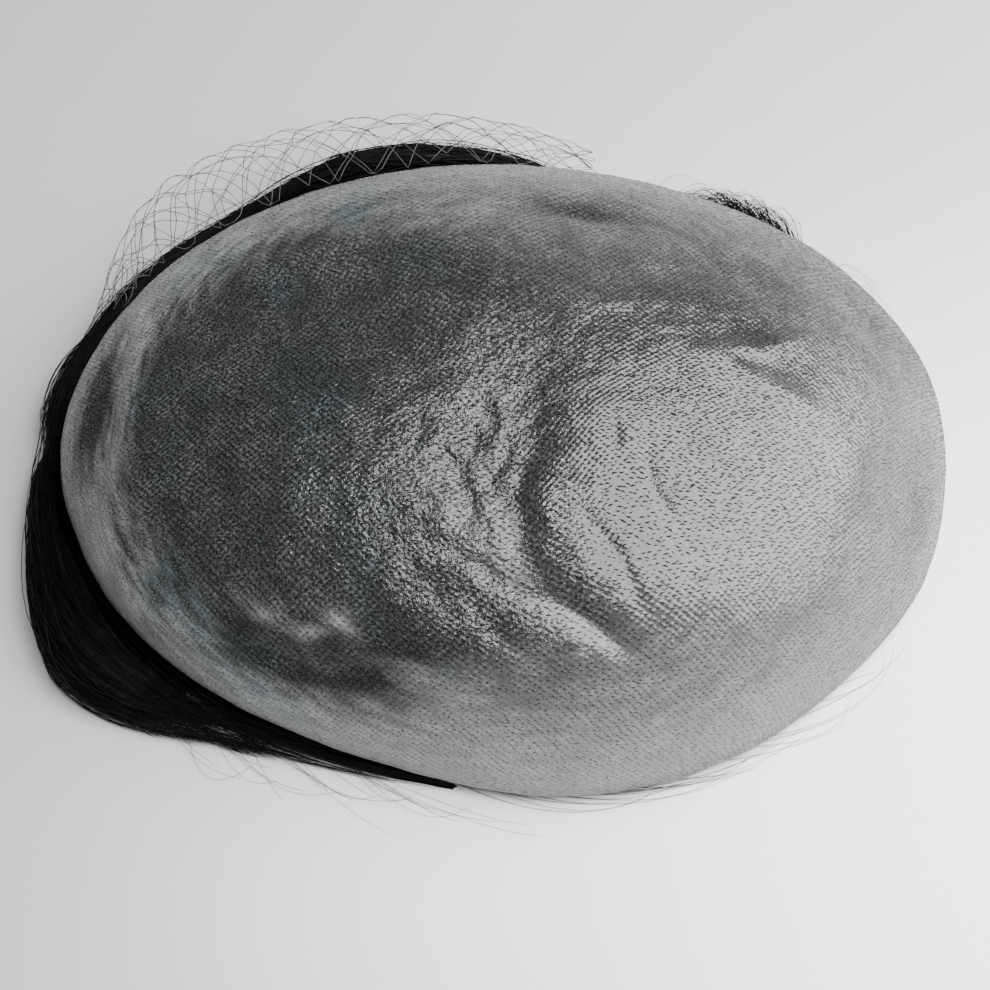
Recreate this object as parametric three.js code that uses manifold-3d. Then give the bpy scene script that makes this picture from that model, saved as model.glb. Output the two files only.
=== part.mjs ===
// A thin-skin toupee hairpiece, turned inside out for storage, at its real size.
// The skin base lies dome up with the face that meets the scalp outwards. The hair that grows
// from its other face is packed under it, spills out past the rim and carries the rim clear of
// the surface. A loose hair net billows out beside it.
// Millimetres, +Z up, +X towards the front hairline, resting on the plane z = 0.
// Turns are degrees round the rim from +X towards +Y. A drop is 0 at the crown and 1 at the rim.
import * as THREE from "three";
import { mergeVertices } from "three/addons/utils/BufferGeometryUtils.js";
import Module from "manifold-3d";

// Skin base
const BASE_LENGTH = 215; // rim, front to nape
const BASE_WIDTH = 164; // rim, side to side
const CROWN_HEIGHT = 53; // top of the dome above the surface
const SIDE_FULLNESS = 2.3; // superellipse powers of the dome: 2 is an ellipsoid
const CROWN_FULLNESS = 2.2;
const SKIN_WALL = 1.2;
const DENT_DEPTH = 3.4; // the deepest dent in the skin

// Hair
const HAIR_LIFT = 12; // highest that the packed hair holds the rim
const HAIR_SPILL = 5; // farthest that the bed comes out under the rim
const HAIR_BED = 9; // thickness of the hair that lies against the skin
const LOCK_RELIEF = 1.1; // ridge height of the locks on the bed
const BED_LOCKS = 13; // locks round the bed
const BED_SWIRL = 70; // degrees that each bed lock turns between the crown and the rim
const LOBE_REACH = 16; // the bunch at the nape corner, out from the bed
const LOBE_HEIGHT = 13;
const LOBE_TURNS = [175.5, 266]; // where it starts and ends round the rim
const ROLL_REACH = 8; // the roll along the far side and its band to the nape
const ROLL_HEIGHT = 24;
const ROLL_TURNS = [72, 175];

// Hair net
const NET_THREAD = 1; // width and thickness of the net's bars
const NET_BILLOW = 26; // farthest that it stands out from the bed
const NET_TURNS = [76, 154];
const NET_SEAT_SHARE = 0.82; // drop at which its upper edge leans on the skin
const NET_COLUMNS = 14; // whole meshes along the upper edge
const NET_ROWS = 4; // whole meshes from the upper edge to the lower one

const CLEARANCE = 0.3; // gap between one piece and the next

// Mesh steps
const TURN_STEPS = 64;
const DROP_STEPS = 15;
const DROP_CROWDING = 1.15; // over 1 gathers the steps at the crown
const LOCK_STEPS = 12;
const LOCK_SIDES = 8;
const NORMAL_STEP = { turn: 1, drop: 0.01 }; // over which the dome's slope is taken
const NET_STEP = 0.05; // share of half a mesh over which the net's slope is taken

// The rim every 20 degrees. reach is a share of the plain ellipse, lift of HAIR_LIFT and spill
// of HAIR_SPILL.
const RIM_ROWS = [
  { turn: 0, reach: 1.03, lift: 0.15, spill: 0 },
  { turn: 20, reach: 1.06, lift: 0.15, spill: 0 },
  { turn: 40, reach: 1.045, lift: 0.25, spill: 0 },
  { turn: 60, reach: 1.01, lift: 0.4, spill: 0.1 },
  { turn: 80, reach: 0.99, lift: 0.55, spill: 0.5 },
  { turn: 100, reach: 0.985, lift: 0.7, spill: 0.8 },
  { turn: 120, reach: 0.98, lift: 0.8, spill: 1 },
  { turn: 140, reach: 0.98, lift: 0.85, spill: 1 },
  { turn: 160, reach: 0.975, lift: 0.9, spill: 0.9 },
  { turn: 180, reach: 0.975, lift: 0.95, spill: 0.8 },
  { turn: 200, reach: 0.955, lift: 1, spill: 0.9 },
  { turn: 220, reach: 0.94, lift: 1, spill: 1 },
  { turn: 240, reach: 0.94, lift: 0.7, spill: 0.6 },
  { turn: 260, reach: 0.955, lift: 0.4, spill: 0.2 },
  { turn: 280, reach: 1, lift: 0.2, spill: 0 },
  { turn: 300, reach: 1.01, lift: 0.15, spill: 0 },
  { turn: 320, reach: 1, lift: 0.15, spill: 0 },
  { turn: 340, reach: 1.02, lift: 0.15, spill: 0 },
];

// Dents pushed into the dome, seen from above. along is a share of half the length towards +X,
// across a share of half the width towards +Y. length and width are half sizes as shares of half
// the width. slant turns the length from +X towards +Y, in degrees. depth is a share of
// DENT_DEPTH, and below 0 the row is a raised fold.
const DENT_ROWS = [
  { along: 0.05, across: -0.22, length: 0.5, width: 0.2, slant: 82, depth: 0.9 }, // middle valley
  { along: 0.2, across: -0.15, length: 0.42, width: 0.14, slant: 78, depth: -0.4 }, // its ridge
  { along: 0.34, across: -0.27, length: 0.2, width: 0.11, slant: 65, depth: 0.5 }, // pinch
  { along: 0.62, across: 0.1, length: 0.34, width: 0.12, slant: -32, depth: 0.8 }, // front crease
  { along: 0.58, across: -0.02, length: 0.26, width: 0.1, slant: -30, depth: -0.4 }, // its fold
  { along: 0.22, across: -0.6, length: 0.34, width: 0.13, slant: -32, depth: 0.9 }, // near crease
  { along: 0.13, across: -0.72, length: 0.28, width: 0.1, slant: -25, depth: -0.5 }, // its fold
  { along: -0.4, across: -0.6, length: 0.3, width: 0.1, slant: -22, depth: -0.6 }, // nape ridge
  { along: -0.36, across: -0.76, length: 0.26, width: 0.15, slant: -15, depth: 1 }, // under it
  { along: 0.0, across: -0.86, length: 0.3, width: 0.1, slant: 5, depth: 0.8 }, // near side dent
  { along: 0.0, across: -0.75, length: 0.4, width: 0.09, slant: 0, depth: -0.4 }, // above it
  { along: -0.85, across: 0.0, length: 0.24, width: 0.09, slant: 80, depth: 0.8 }, // nape dent
  { along: -0.74, across: -0.06, length: 0.36, width: 0.1, slant: 84, depth: -0.4 }, // its ridge
  { along: -0.5, across: 0.45, length: 0.4, width: 0.12, slant: 22, depth: -0.45 }, // far ridge
  { along: -0.4, across: 0.3, length: 0.4, width: 0.14, slant: 20, depth: 0.4 }, // far hollow
  { along: 0.21, across: 0.62, length: 0.24, width: 0.1, slant: -8, depth: 0.6 }, // far dimple
  { along: 0.84, across: 0.38, length: 0.2, width: 0.12, slant: -50, depth: 0.8 }, // far corner
  { along: 0.9, across: -0.2, length: 0.16, width: 0.1, slant: 60, depth: 0.6 }, // front edge
];

// The bunch at the nape corner, evenly from its first turn to its last, as shares of LOBE_REACH
// and LOBE_HEIGHT.
const LOBE_ROWS = [
  { reach: 0.28, height: 0.7 },
  { reach: 0.42, height: 0.85 },
  { reach: 0.72, height: 1 },
  { reach: 1, height: 1 },
  { reach: 0.8, height: 0.72 },
  { reach: 0.36, height: 0.48 },
  { reach: 0.22, height: 0.34 },
  { reach: 0.15, height: 0.26 },
  { reach: 0.06, height: 0.16 },
];

// The roll along the far side and the band that it thins to, in the same way.
const ROLL_ROWS = [
  { reach: 0.12, height: 0.25 },
  { reach: 0.5, height: 0.62 },
  { reach: 0.85, height: 0.85 },
  { reach: 1, height: 1 },
  { reach: 1, height: 0.95 },
  { reach: 0.68, height: 0.68 },
  { reach: 0.62, height: 0.62 },
  { reach: 0.62, height: 0.6 },
  { reach: 0.66, height: 0.56 },
  { reach: 0.74, height: 0.52 },
  { reach: 0.74, height: 0.48 },
];

// The locks that make each bunch. out and up are the middle of the lock's section and wide and
// tall its half sizes, as shares of the bunch's reach and height there.
const LOBE_LOCKS = [
  { out: 0.02, up: 0.55, wide: 0.16, tall: 0.42 },
  { out: 0.24, up: 0.5, wide: 0.17, tall: 0.5 },
  { out: 0.46, up: 0.46, wide: 0.16, tall: 0.52 },
  { out: 0.66, up: 0.4, wide: 0.15, tall: 0.48 },
  { out: 0.84, up: 0.3, wide: 0.16, tall: 0.4 },
];
const ROLL_LOCKS = [
  { out: 0.3, up: 0.22, wide: 0.55, tall: 0.28 },
  { out: 0.68, up: 0.38, wide: 0.32, tall: 0.24 },
  { out: 0.5, up: 0.62, wide: 0.4, tall: 0.22 },
  { out: 0.15, up: 0.8, wide: 0.4, tall: 0.2 },
];

// How far the net stands out, evenly from its first turn to its last, as a share of NET_BILLOW.
const NET_BULGES = [0.25, 0.45, 0.6, 0.68, 0.78, 0.88, 0.84, 0.48, 0.08];

// How the net leaves its upper edge and comes in to its lower one: out is a share of its bulge
// there, and up a share of NET_BILLOW.
const NET_LEAVES = { out: 1.0, up: 0.28 };
const NET_LANDS = { out: 1.15, up: 0.25 };

// The bed under the rim: how far each point of its foot is towards the spill, and its height as
// a share of the space under the rim.
const FOOT_ROWS = [
  { out: 0, up: 1 },
  { out: 0.6, up: 0.9 },
  { out: 1, up: 0.5 },
  { out: 0.85, up: 0 },
];

const UP = new THREE.Vector3(0, 0, 1);

const wasm = await Module();
wasm.setup();

// A value between evenly spaced ones, on a smooth curve through them all.
function smoothAt(values, place, closed) {
  const first = Math.floor(place);
  const share = place - first;
  const at = (step) => {
    const index = first + step;
    return closed
      ? values[((index % values.length) + values.length) % values.length]
      : values[THREE.MathUtils.clamp(index, 0, values.length - 1)];
  };
  const [a, b, c, d] = [at(-1), at(0), at(1), at(2)];
  const pull = (c - a) / 2;
  const next = (d - b) / 2;
  return (
    b +
    share *
      (pull +
        share *
          (3 * (c - b) - 2 * pull - next + share * (2 * (b - c) + pull + next)))
  );
}

// One column of the rim's table at any turn.
function rimShare(column, turn) {
  const values = RIM_ROWS.map((row) => row[column]);
  return smoothAt(values, (turn * RIM_ROWS.length) / 360, true);
}

// One column of a bunch's table, from 0 at its first turn to 1 at its last.
function bunchShare(rows, column, share) {
  const values = rows.map((row) => row[column]);
  return smoothAt(values, share * (rows.length - 1), false);
}

const liftAt = (turn) => HAIR_LIFT * rimShare("lift", turn);
const spillAt = (turn) => Math.max(0, HAIR_SPILL * rimShare("spill", turn));

// The dome with no dents.
function plainPoint(turn, drop) {
  const fall = (Math.PI / 2) * Math.min(1, drop) ** DROP_CROWDING;
  const out = Math.sin(fall) ** (2 / SIDE_FULLNESS) * rimShare("reach", turn);
  const up = Math.max(0, Math.cos(fall)) ** (2 / CROWN_FULLNESS);
  const angle = THREE.MathUtils.degToRad(turn);
  const lift = liftAt(turn);
  return new THREE.Vector3(
    (BASE_LENGTH / 2) * out * Math.cos(angle),
    (BASE_WIDTH / 2) * out * Math.sin(angle),
    lift + (CROWN_HEIGHT - lift) * up,
  );
}

// The outward normal of the dome with no dents.
function plainNormal(turn, drop) {
  if (drop === 0) return UP.clone();
  const { turn: side, drop: fall } = NORMAL_STEP;
  const round = plainPoint(turn + side, drop).sub(plainPoint(turn - side, drop));
  const down = plainPoint(turn, drop + fall).sub(plainPoint(turn, drop - fall));
  return down.cross(round).normalize();
}

// A point off the plain dome, along its normal.
function plainOffset(turn, drop, distance) {
  return plainPoint(turn, drop).addScaledVector(plainNormal(turn, drop), distance);
}

// How deep the dents are at a place seen from above.
function dentDepth(x, y) {
  const half = BASE_WIDTH / 2;
  let depth = 0;
  for (const row of DENT_ROWS) {
    const slant = THREE.MathUtils.degToRad(row.slant);
    const dx = x - (row.along * BASE_LENGTH) / 2;
    const dy = y - (row.across * BASE_WIDTH) / 2;
    const u = (dx * Math.cos(slant) + dy * Math.sin(slant)) / (row.length * half);
    const v = (dy * Math.cos(slant) - dx * Math.sin(slant)) / (row.width * half);
    depth += DENT_DEPTH * row.depth * Math.exp(-u * u - v * v);
  }
  return depth;
}

// A point off the skin's outer face, along the plain dome's normal.
function skinOffset(turn, drop, distance) {
  const { x, y } = plainPoint(turn, drop);
  return plainOffset(turn, drop, distance - dentDepth(x, y));
}

const TURNS = Array.from({ length: TURN_STEPS }, (_, i) => (i * 360) / TURN_STEPS);
const DROPS = Array.from({ length: DROP_STEPS }, (_, i) => (i + 1) / DROP_STEPS);

// One ring at a drop, off the skin's outer face by a distance.
const skinRing = (drop, distance) => TURNS.map((turn) => skinOffset(turn, drop, distance));

// The level direction out from the rim at a turn.
const outward = (turn) => plainNormal(turn, 1).setZ(0).normalize();

// A point out from the rim by a distance, at a height.
const besideRim = (turn, out, height) =>
  skinOffset(turn, 1, 0).addScaledVector(outward(turn), out).setZ(height);

// The bed's outer face under the rim, out from the rim.
const bedOut = (turn) => spillAt(turn) - SKIN_WALL - CLEARANCE;

// A closed surface from a start point, through rings of as many points each, to an end point.
// Seen against the way from start to end, each ring runs anticlockwise. Its four-sided faces are
// split the same way where it goes down as where it comes back up, so nested walls stay apart.
function closedLoft(start, rings, end) {
  const sides = rings[0].length;
  const points = [start, ...rings.flat(), end];
  const last = points.length - 1;
  const at = (ring, side) => 1 + ring * sides + (side % sides);
  const heights = rings.map((ring) => ring.reduce((sum, point) => sum + point.z, 0));
  const index = [];
  for (let side = 0; side < sides; side++) {
    index.push(0, at(0, side), at(0, side + 1));
    index.push(at(rings.length - 1, side), last, at(rings.length - 1, side + 1));
    for (let ring = 0; ring + 1 < rings.length; ring++) {
      const [a, b] = [at(ring, side), at(ring, side + 1)];
      const [c, d] = [at(ring + 1, side), at(ring + 1, side + 1)];
      const falls = heights[ring] >= heights[ring + 1];
      index.push(...(falls ? [a, c, d, a, d, b] : [a, c, b, b, c, d]));
    }
  }
  return new THREE.BufferGeometry().setFromPoints(points).setIndex(index);
}

function solidOf(geometry) {
  const merged = mergeVertices(geometry);
  return new wasm.Manifold(
    new wasm.Mesh({
      numProp: 3,
      vertProperties: merged.getAttribute("position").array,
      triVerts: new Uint32Array(merged.index.array),
    }),
  );
}

function geometryOf(solid) {
  const mesh = solid.getMesh();
  return new THREE.BufferGeometry()
    .setAttribute("position", new THREE.BufferAttribute(mesh.vertProperties, 3))
    .setIndex(new THREE.BufferAttribute(mesh.triVerts, 1));
}

// The thin skin: its outer face, then back up its inner face.
function makeSkin() {
  const outer = DROPS.map((drop) => skinRing(drop, 0));
  const inner = DROPS.toReversed().map((drop) => skinRing(drop, -SKIN_WALL));
  return closedLoft(
    skinOffset(0, 0, 0),
    [...outer, ...inner],
    skinOffset(0, 0, -SKIN_WALL),
  );
}

// The hair that lies against the skin. Its outer face follows the skin, its foot stands on the
// surface under the rim, and locks that swirl out from the crown ridge its inner face.
function makeBed() {
  const gap = SKIN_WALL + CLEARANCE;
  const lock = (turn, drop) =>
    LOCK_RELIEF * Math.sin(THREE.MathUtils.degToRad(BED_LOCKS * (turn + BED_SWIRL * drop)));
  const outer = DROPS.map((drop) => skinRing(drop, -gap));
  const foot = FOOT_ROWS.map(({ out, up }) =>
    TURNS.map((turn) =>
      besideRim(turn, out * spillAt(turn) - gap, up * (liftAt(turn) - 2 * CLEARANCE)),
    ),
  );
  const heel = TURNS.map((turn) => besideRim(turn, -gap - HAIR_BED, 0));
  const inner = DROPS.filter((_, i) => i % 2 === 0)
    .toReversed()
    .map((drop) =>
      TURNS.map((turn) => plainOffset(turn, drop, lock(turn, drop) - HAIR_BED)),
    );
  return closedLoft(
    skinOffset(0, 0, -gap),
    [...outer, ...foot, heel, ...inner],
    plainOffset(0, 0, -HAIR_BED),
  );
}

// What a bunch beside the bed has to stay clear of: the skin and the bed, filled and grown by
// the clearance, and everything under the surface.
function makeKeepOut() {
  const depth = HAIR_SPILL + LOBE_HEIGHT;
  const outer = DROPS.map((drop) => skinRing(drop, CLEARANCE));
  const below = [liftAt, () => 0, () => -depth].map((height) =>
    TURNS.map((turn) =>
      besideRim(turn, Math.max(bedOut(turn), 0) + CLEARANCE, height(turn)),
    ),
  );
  const core = closedLoft(
    skinOffset(0, 0, CLEARANCE),
    [...outer, ...below],
    new THREE.Vector3(0, 0, -depth),
  );
  const ground = new THREE.BoxGeometry(2 * BASE_LENGTH, 2 * BASE_LENGTH, depth);
  ground.translate(0, 0, -depth / 2);
  ground.deleteAttribute("normal").deleteAttribute("uv");
  return solidOf(core).add(solidOf(ground));
}

// One lock of a bunch, a tapered strand of hair that runs along the rim.
function makeLock(lock, rows, [from, to], reach, height) {
  const centre = (share) => {
    const turn = THREE.MathUtils.lerp(from, to, share);
    const out = reach * bunchShare(rows, "reach", share);
    const up = height * bunchShare(rows, "height", share);
    return besideRim(turn, Math.max(0, bedOut(turn)) + lock.out * out, lock.up * up);
  };
  const rings = Array.from({ length: LOCK_STEPS }, (_, step) => {
    const share = (step + 0.5) / LOCK_STEPS;
    const turn = THREE.MathUtils.lerp(from, to, share);
    const wide = lock.wide * reach * bunchShare(rows, "reach", share);
    const tall = lock.tall * height * bunchShare(rows, "height", share);
    return Array.from({ length: LOCK_SIDES }, (_, side) => {
      const angle = (2 * Math.PI * side) / LOCK_SIDES;
      return centre(share)
        .addScaledVector(outward(turn), wide * Math.cos(angle))
        .addScaledVector(UP, tall * Math.sin(angle));
    });
  });
  return solidOf(closedLoft(centre(0), rings, centre(1)));
}

// A bunch of locks fused together and seated against the bed. Of what is left outside the
// bed, the main piece is the bunch.
function makeBunch(locks, rows, turns, reach, height, keepOut) {
  const fused = locks
    .map((lock) => makeLock(lock, rows, turns, reach, height))
    .reduce((all, lock) => all.add(lock))
    .subtract(keepOut);
  const pieces = fused.decompose().toSorted((a, b) => b.volume() - a.volume());
  return geometryOf(pieces[0]);
}

// The net's middle surface. across is 0 at the edge that leans on the skin and 1 at the edge
// that meets the surface outside the roll.
function netPoint(along, across) {
  const turn = THREE.MathUtils.lerp(...NET_TURNS, along);
  const bulge = NET_BILLOW * smoothAt(NET_BULGES, along * (NET_BULGES.length - 1), false);
  const seat = skinOffset(turn, NET_SEAT_SHARE, CLEARANCE + NET_THREAD / 2);
  const rollShare = THREE.MathUtils.inverseLerp(...ROLL_TURNS, turn);
  const roll =
    rollShare < 1 ? ROLL_REACH * bunchShare(ROLL_ROWS, "reach", Math.max(0, rollShare)) : 0;
  const foot = besideRim(turn, bedOut(turn) + roll + 2 * NET_THREAD, NET_THREAD);
  const bent = (start, { out, up }) =>
    start
      .clone()
      .addScaledVector(outward(turn), out * bulge)
      .addScaledVector(UP, up * NET_BILLOW);
  return new THREE.CubicBezierCurve3(
    seat,
    bent(seat, NET_LEAVES),
    bent(foot, NET_LANDS),
    foot,
  ).getPoint(across);
}

// A sheet of diamond meshes on a surface given by shares along and across, cut through inside
// every diamond. Whole rows alternate with rows one mesh shorter that sit between them.
function makeNet(place, columns, rows, thread) {
  const keys = new Map();
  const points = [];
  const index = [];
  const bar = thread / 2;
  const span = place(0, 0).distanceTo(place(1, 0)) / columns;
  // A vertex on one face of the sheet, at lattice coordinates in half meshes.
  const vertex = (i, j, face) => {
    const key = [i, j, face].map((n) => n.toFixed(4)).join();
    if (!keys.has(key)) {
      const at = (di, dj) => place((i + di) / (2 * columns), (j + dj) / (2 * rows));
      const normal = at(NET_STEP, 0)
        .sub(at(-NET_STEP, 0))
        .cross(at(0, NET_STEP).sub(at(0, -NET_STEP)))
        .normalize();
      keys.set(key, points.push(at(0, 0).addScaledVector(normal, face * bar)) - 1);
    }
    return keys.get(key);
  };
  const quad = (a, b, c, d) => index.push(a, b, c, a, c, d);
  const corners = [
    [1, 0],
    [0, 1],
    [-1, 0],
    [0, -1],
  ];
  const inset = 1 - (2 * Math.SQRT2 * bar) / span; // keeps each bar about a thread wide
  const outerEdges = new Map();
  for (let j = 1; j < 2 * rows; j++) {
    const short = j % 2 === 0;
    for (let i = short ? 2 : 1; i < 2 * columns - (short ? 1 : 0); i += 2) {
      corners.forEach(([di, dj], k) => {
        const [ei, ej] = corners[(k + 1) % corners.length];
        const lattice = [
          [i + di, j + dj],
          [i + ei, j + ej],
        ];
        const hole = [
          [i + di * inset, j + dj * inset],
          [i + ei * inset, j + ej * inset],
        ];
        const [a, b, c, d] = [...lattice, ...hole.toReversed()].map(([x, y]) => [
          vertex(x, y, 1),
          vertex(x, y, -1),
        ]);
        quad(a[0], b[0], c[0], d[0]);
        quad(d[1], c[1], b[1], a[1]);
        quad(d[0], c[0], c[1], d[1]);
        const back = lattice.toReversed().join(";");
        if (!outerEdges.delete(back)) outerEdges.set(lattice.join(";"), [a, b]);
      });
    }
  }
  for (const [a, b] of outerEdges.values()) quad(b[0], a[0], a[1], b[1]);
  return new THREE.BufferGeometry().setFromPoints(points).setIndex(index);
}

const FINISHES = {
  skin: { color: 0x6f7170, roughness: 0.3, metalness: 0 },
  hair: { color: 0x0b0b0c, roughness: 0.5, metalness: 0 },
  net: { color: 0x2a2a2c, roughness: 0.6, metalness: 0 },
};

function addPiece(group, name, finish, geometry) {
  geometry.computeVertexNormals();
  const piece = new THREE.Mesh(
    geometry,
    new THREE.MeshStandardMaterial(FINISHES[finish]),
  );
  piece.name = name;
  group.add(piece);
}

const toupee = new THREE.Group();
const keepOut = makeKeepOut();
addPiece(toupee, "skin_base", "skin", makeSkin());
addPiece(toupee, "hair_bed", "hair", makeBed());
addPiece(
  toupee,
  "hair_lobe",
  "hair",
  makeBunch(LOBE_LOCKS, LOBE_ROWS, LOBE_TURNS, LOBE_REACH, LOBE_HEIGHT, keepOut),
);
addPiece(
  toupee,
  "hair_roll",
  "hair",
  makeBunch(ROLL_LOCKS, ROLL_ROWS, ROLL_TURNS, ROLL_REACH, ROLL_HEIGHT, keepOut),
);
addPiece(toupee, "hair_net", "net", makeNet(netPoint, NET_COLUMNS, NET_ROWS, NET_THREAD));

// The origin is the middle of the whole piece's foot.
const middle = new THREE.Box3().setFromObject(toupee).getCenter(new THREE.Vector3());
toupee.position.set(-middle.x, -middle.y, 0);

export default toupee;
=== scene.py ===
"""A thin-skin toupee hairpiece, turned inside out and laid dome up on a pale floor.

The skin film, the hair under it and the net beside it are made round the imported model, in
metres, in its own frame: +X to the front hairline, +Y to the far side and +Z up. A turn is in
degrees round the rim from +X towards +Y. A drop is 0 at the crown and 1 at the rim.
"""

import logging
import math
from dataclasses import dataclass, field, replace
from enum import Enum
from typing import Sequence

import bmesh
import bpy
import numpy as np
from mathutils import Matrix, Vector, noise
from mathutils.bvhtree import BVHTree


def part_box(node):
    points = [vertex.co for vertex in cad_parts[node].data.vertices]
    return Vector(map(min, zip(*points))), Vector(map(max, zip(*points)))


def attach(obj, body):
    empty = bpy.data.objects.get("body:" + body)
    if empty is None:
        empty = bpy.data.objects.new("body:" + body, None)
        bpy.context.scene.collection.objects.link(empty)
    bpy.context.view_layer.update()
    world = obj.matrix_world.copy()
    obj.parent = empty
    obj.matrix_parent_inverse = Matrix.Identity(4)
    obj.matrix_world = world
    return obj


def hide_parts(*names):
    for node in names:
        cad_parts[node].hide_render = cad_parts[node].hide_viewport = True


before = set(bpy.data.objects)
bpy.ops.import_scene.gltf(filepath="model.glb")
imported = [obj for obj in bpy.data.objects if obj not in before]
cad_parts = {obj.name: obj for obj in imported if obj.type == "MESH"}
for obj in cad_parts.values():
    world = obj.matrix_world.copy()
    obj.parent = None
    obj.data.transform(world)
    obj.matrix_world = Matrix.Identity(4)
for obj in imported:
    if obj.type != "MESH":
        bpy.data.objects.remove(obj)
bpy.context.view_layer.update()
BODY = "root"
MM = 0.001
CAD_TURNS = 64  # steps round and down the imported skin
CAD_DROPS = 15
NEARLY_UP = (0.02, 0.03, 1.0)  # never along a strand, so that its rings can be turned by it
END_SHARE = 0.25  # a strand's thickness at its ends
MASS_SHADE = 0.1  # how light the masses of hair are among the strands: near the dark end, as painted shade in the gaps between them
WELD = 0.02 * MM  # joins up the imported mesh's loose triangles

log = logging.getLogger("toupee")


class Slot(Enum):
    """The record's material slots."""

    FILM = "skin_film"
    HAIR = "hair"
    THREAD = "net_thread"


# Shapes shared by the pieces


@dataclass(frozen=True)
class RimRow:
    """The rim at one turn: shares of the plain ellipse and of the highest lift and spill."""

    reach: float
    lift: float
    spill: float


@dataclass(frozen=True)
class Dent:
    """A dent in the dome, seen from above, or a raised fold where its depth is below 0.

    along and across place it, as shares of half the length and half the width. length and
    width are half sizes as shares of half the width, slant is in degrees, and depth is a
    share of the deepest dent.
    """

    along: float
    across: float
    length: float
    width: float
    slant: float
    depth: float


# The rim every 20 degrees from +X.
RIM_ROWS = (
    RimRow(1.03, 0.15, 0),
    RimRow(1.06, 0.15, 0),
    RimRow(1.045, 0.25, 0),
    RimRow(1.01, 0.4, 0.1),
    RimRow(0.99, 0.55, 0.5),
    RimRow(0.985, 0.7, 0.8),
    RimRow(0.98, 0.8, 1),
    RimRow(0.98, 0.85, 1),
    RimRow(0.975, 0.9, 0.9),
    RimRow(0.975, 0.95, 0.8),
    RimRow(0.955, 1, 0.9),
    RimRow(0.94, 1, 1),
    RimRow(0.94, 0.7, 0.6),
    RimRow(0.955, 0.4, 0.2),
    RimRow(1.0, 0.2, 0),
    RimRow(1.01, 0.15, 0),
    RimRow(1.0, 0.15, 0),
    RimRow(1.02, 0.15, 0),
)

# The broad dents and folds. The sharper ones in the middle are creases.
DENTS = (
    Dent(-0.4, -0.6, 0.3, 0.1, -22, -0.4),  # nape ridge
    Dent(-0.36, -0.76, 0.26, 0.15, -15, 0.8),  # under it
    Dent(0.0, -0.86, 0.3, 0.1, 5, 0.6),  # near side dent
    Dent(0.0, -0.75, 0.4, 0.09, 0, -0.3),  # above it
    Dent(-0.85, 0.0, 0.24, 0.09, 80, 0.6),  # nape dent
    Dent(-0.74, -0.06, 0.36, 0.1, 84, -0.4),  # its ridge
    Dent(-0.5, 0.45, 0.4, 0.12, 22, -0.4),  # far ridge
    Dent(-0.4, 0.3, 0.4, 0.14, 20, 0.3),  # far hollow
    Dent(0.21, 0.62, 0.24, 0.1, -8, 0.5),  # far dimple
    Dent(0.84, 0.38, 0.2, 0.12, -50, 0.7),  # far corner
    Dent(0.9, -0.2, 0.16, 0.1, 60, 0.5),  # front edge
)


@dataclass(frozen=True)
class Crease:
    """A line pressed into the film, or raised where its depth is below 0.

    way holds places along and across, as shares of half the length and half the width. width
    is its half width and depth its depth, both in millimetres. On the right of its way it is
    as many times wider as its spread.
    """

    way: tuple[tuple[float, float], ...]
    width: float
    depth: float
    spread: float = 1


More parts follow.
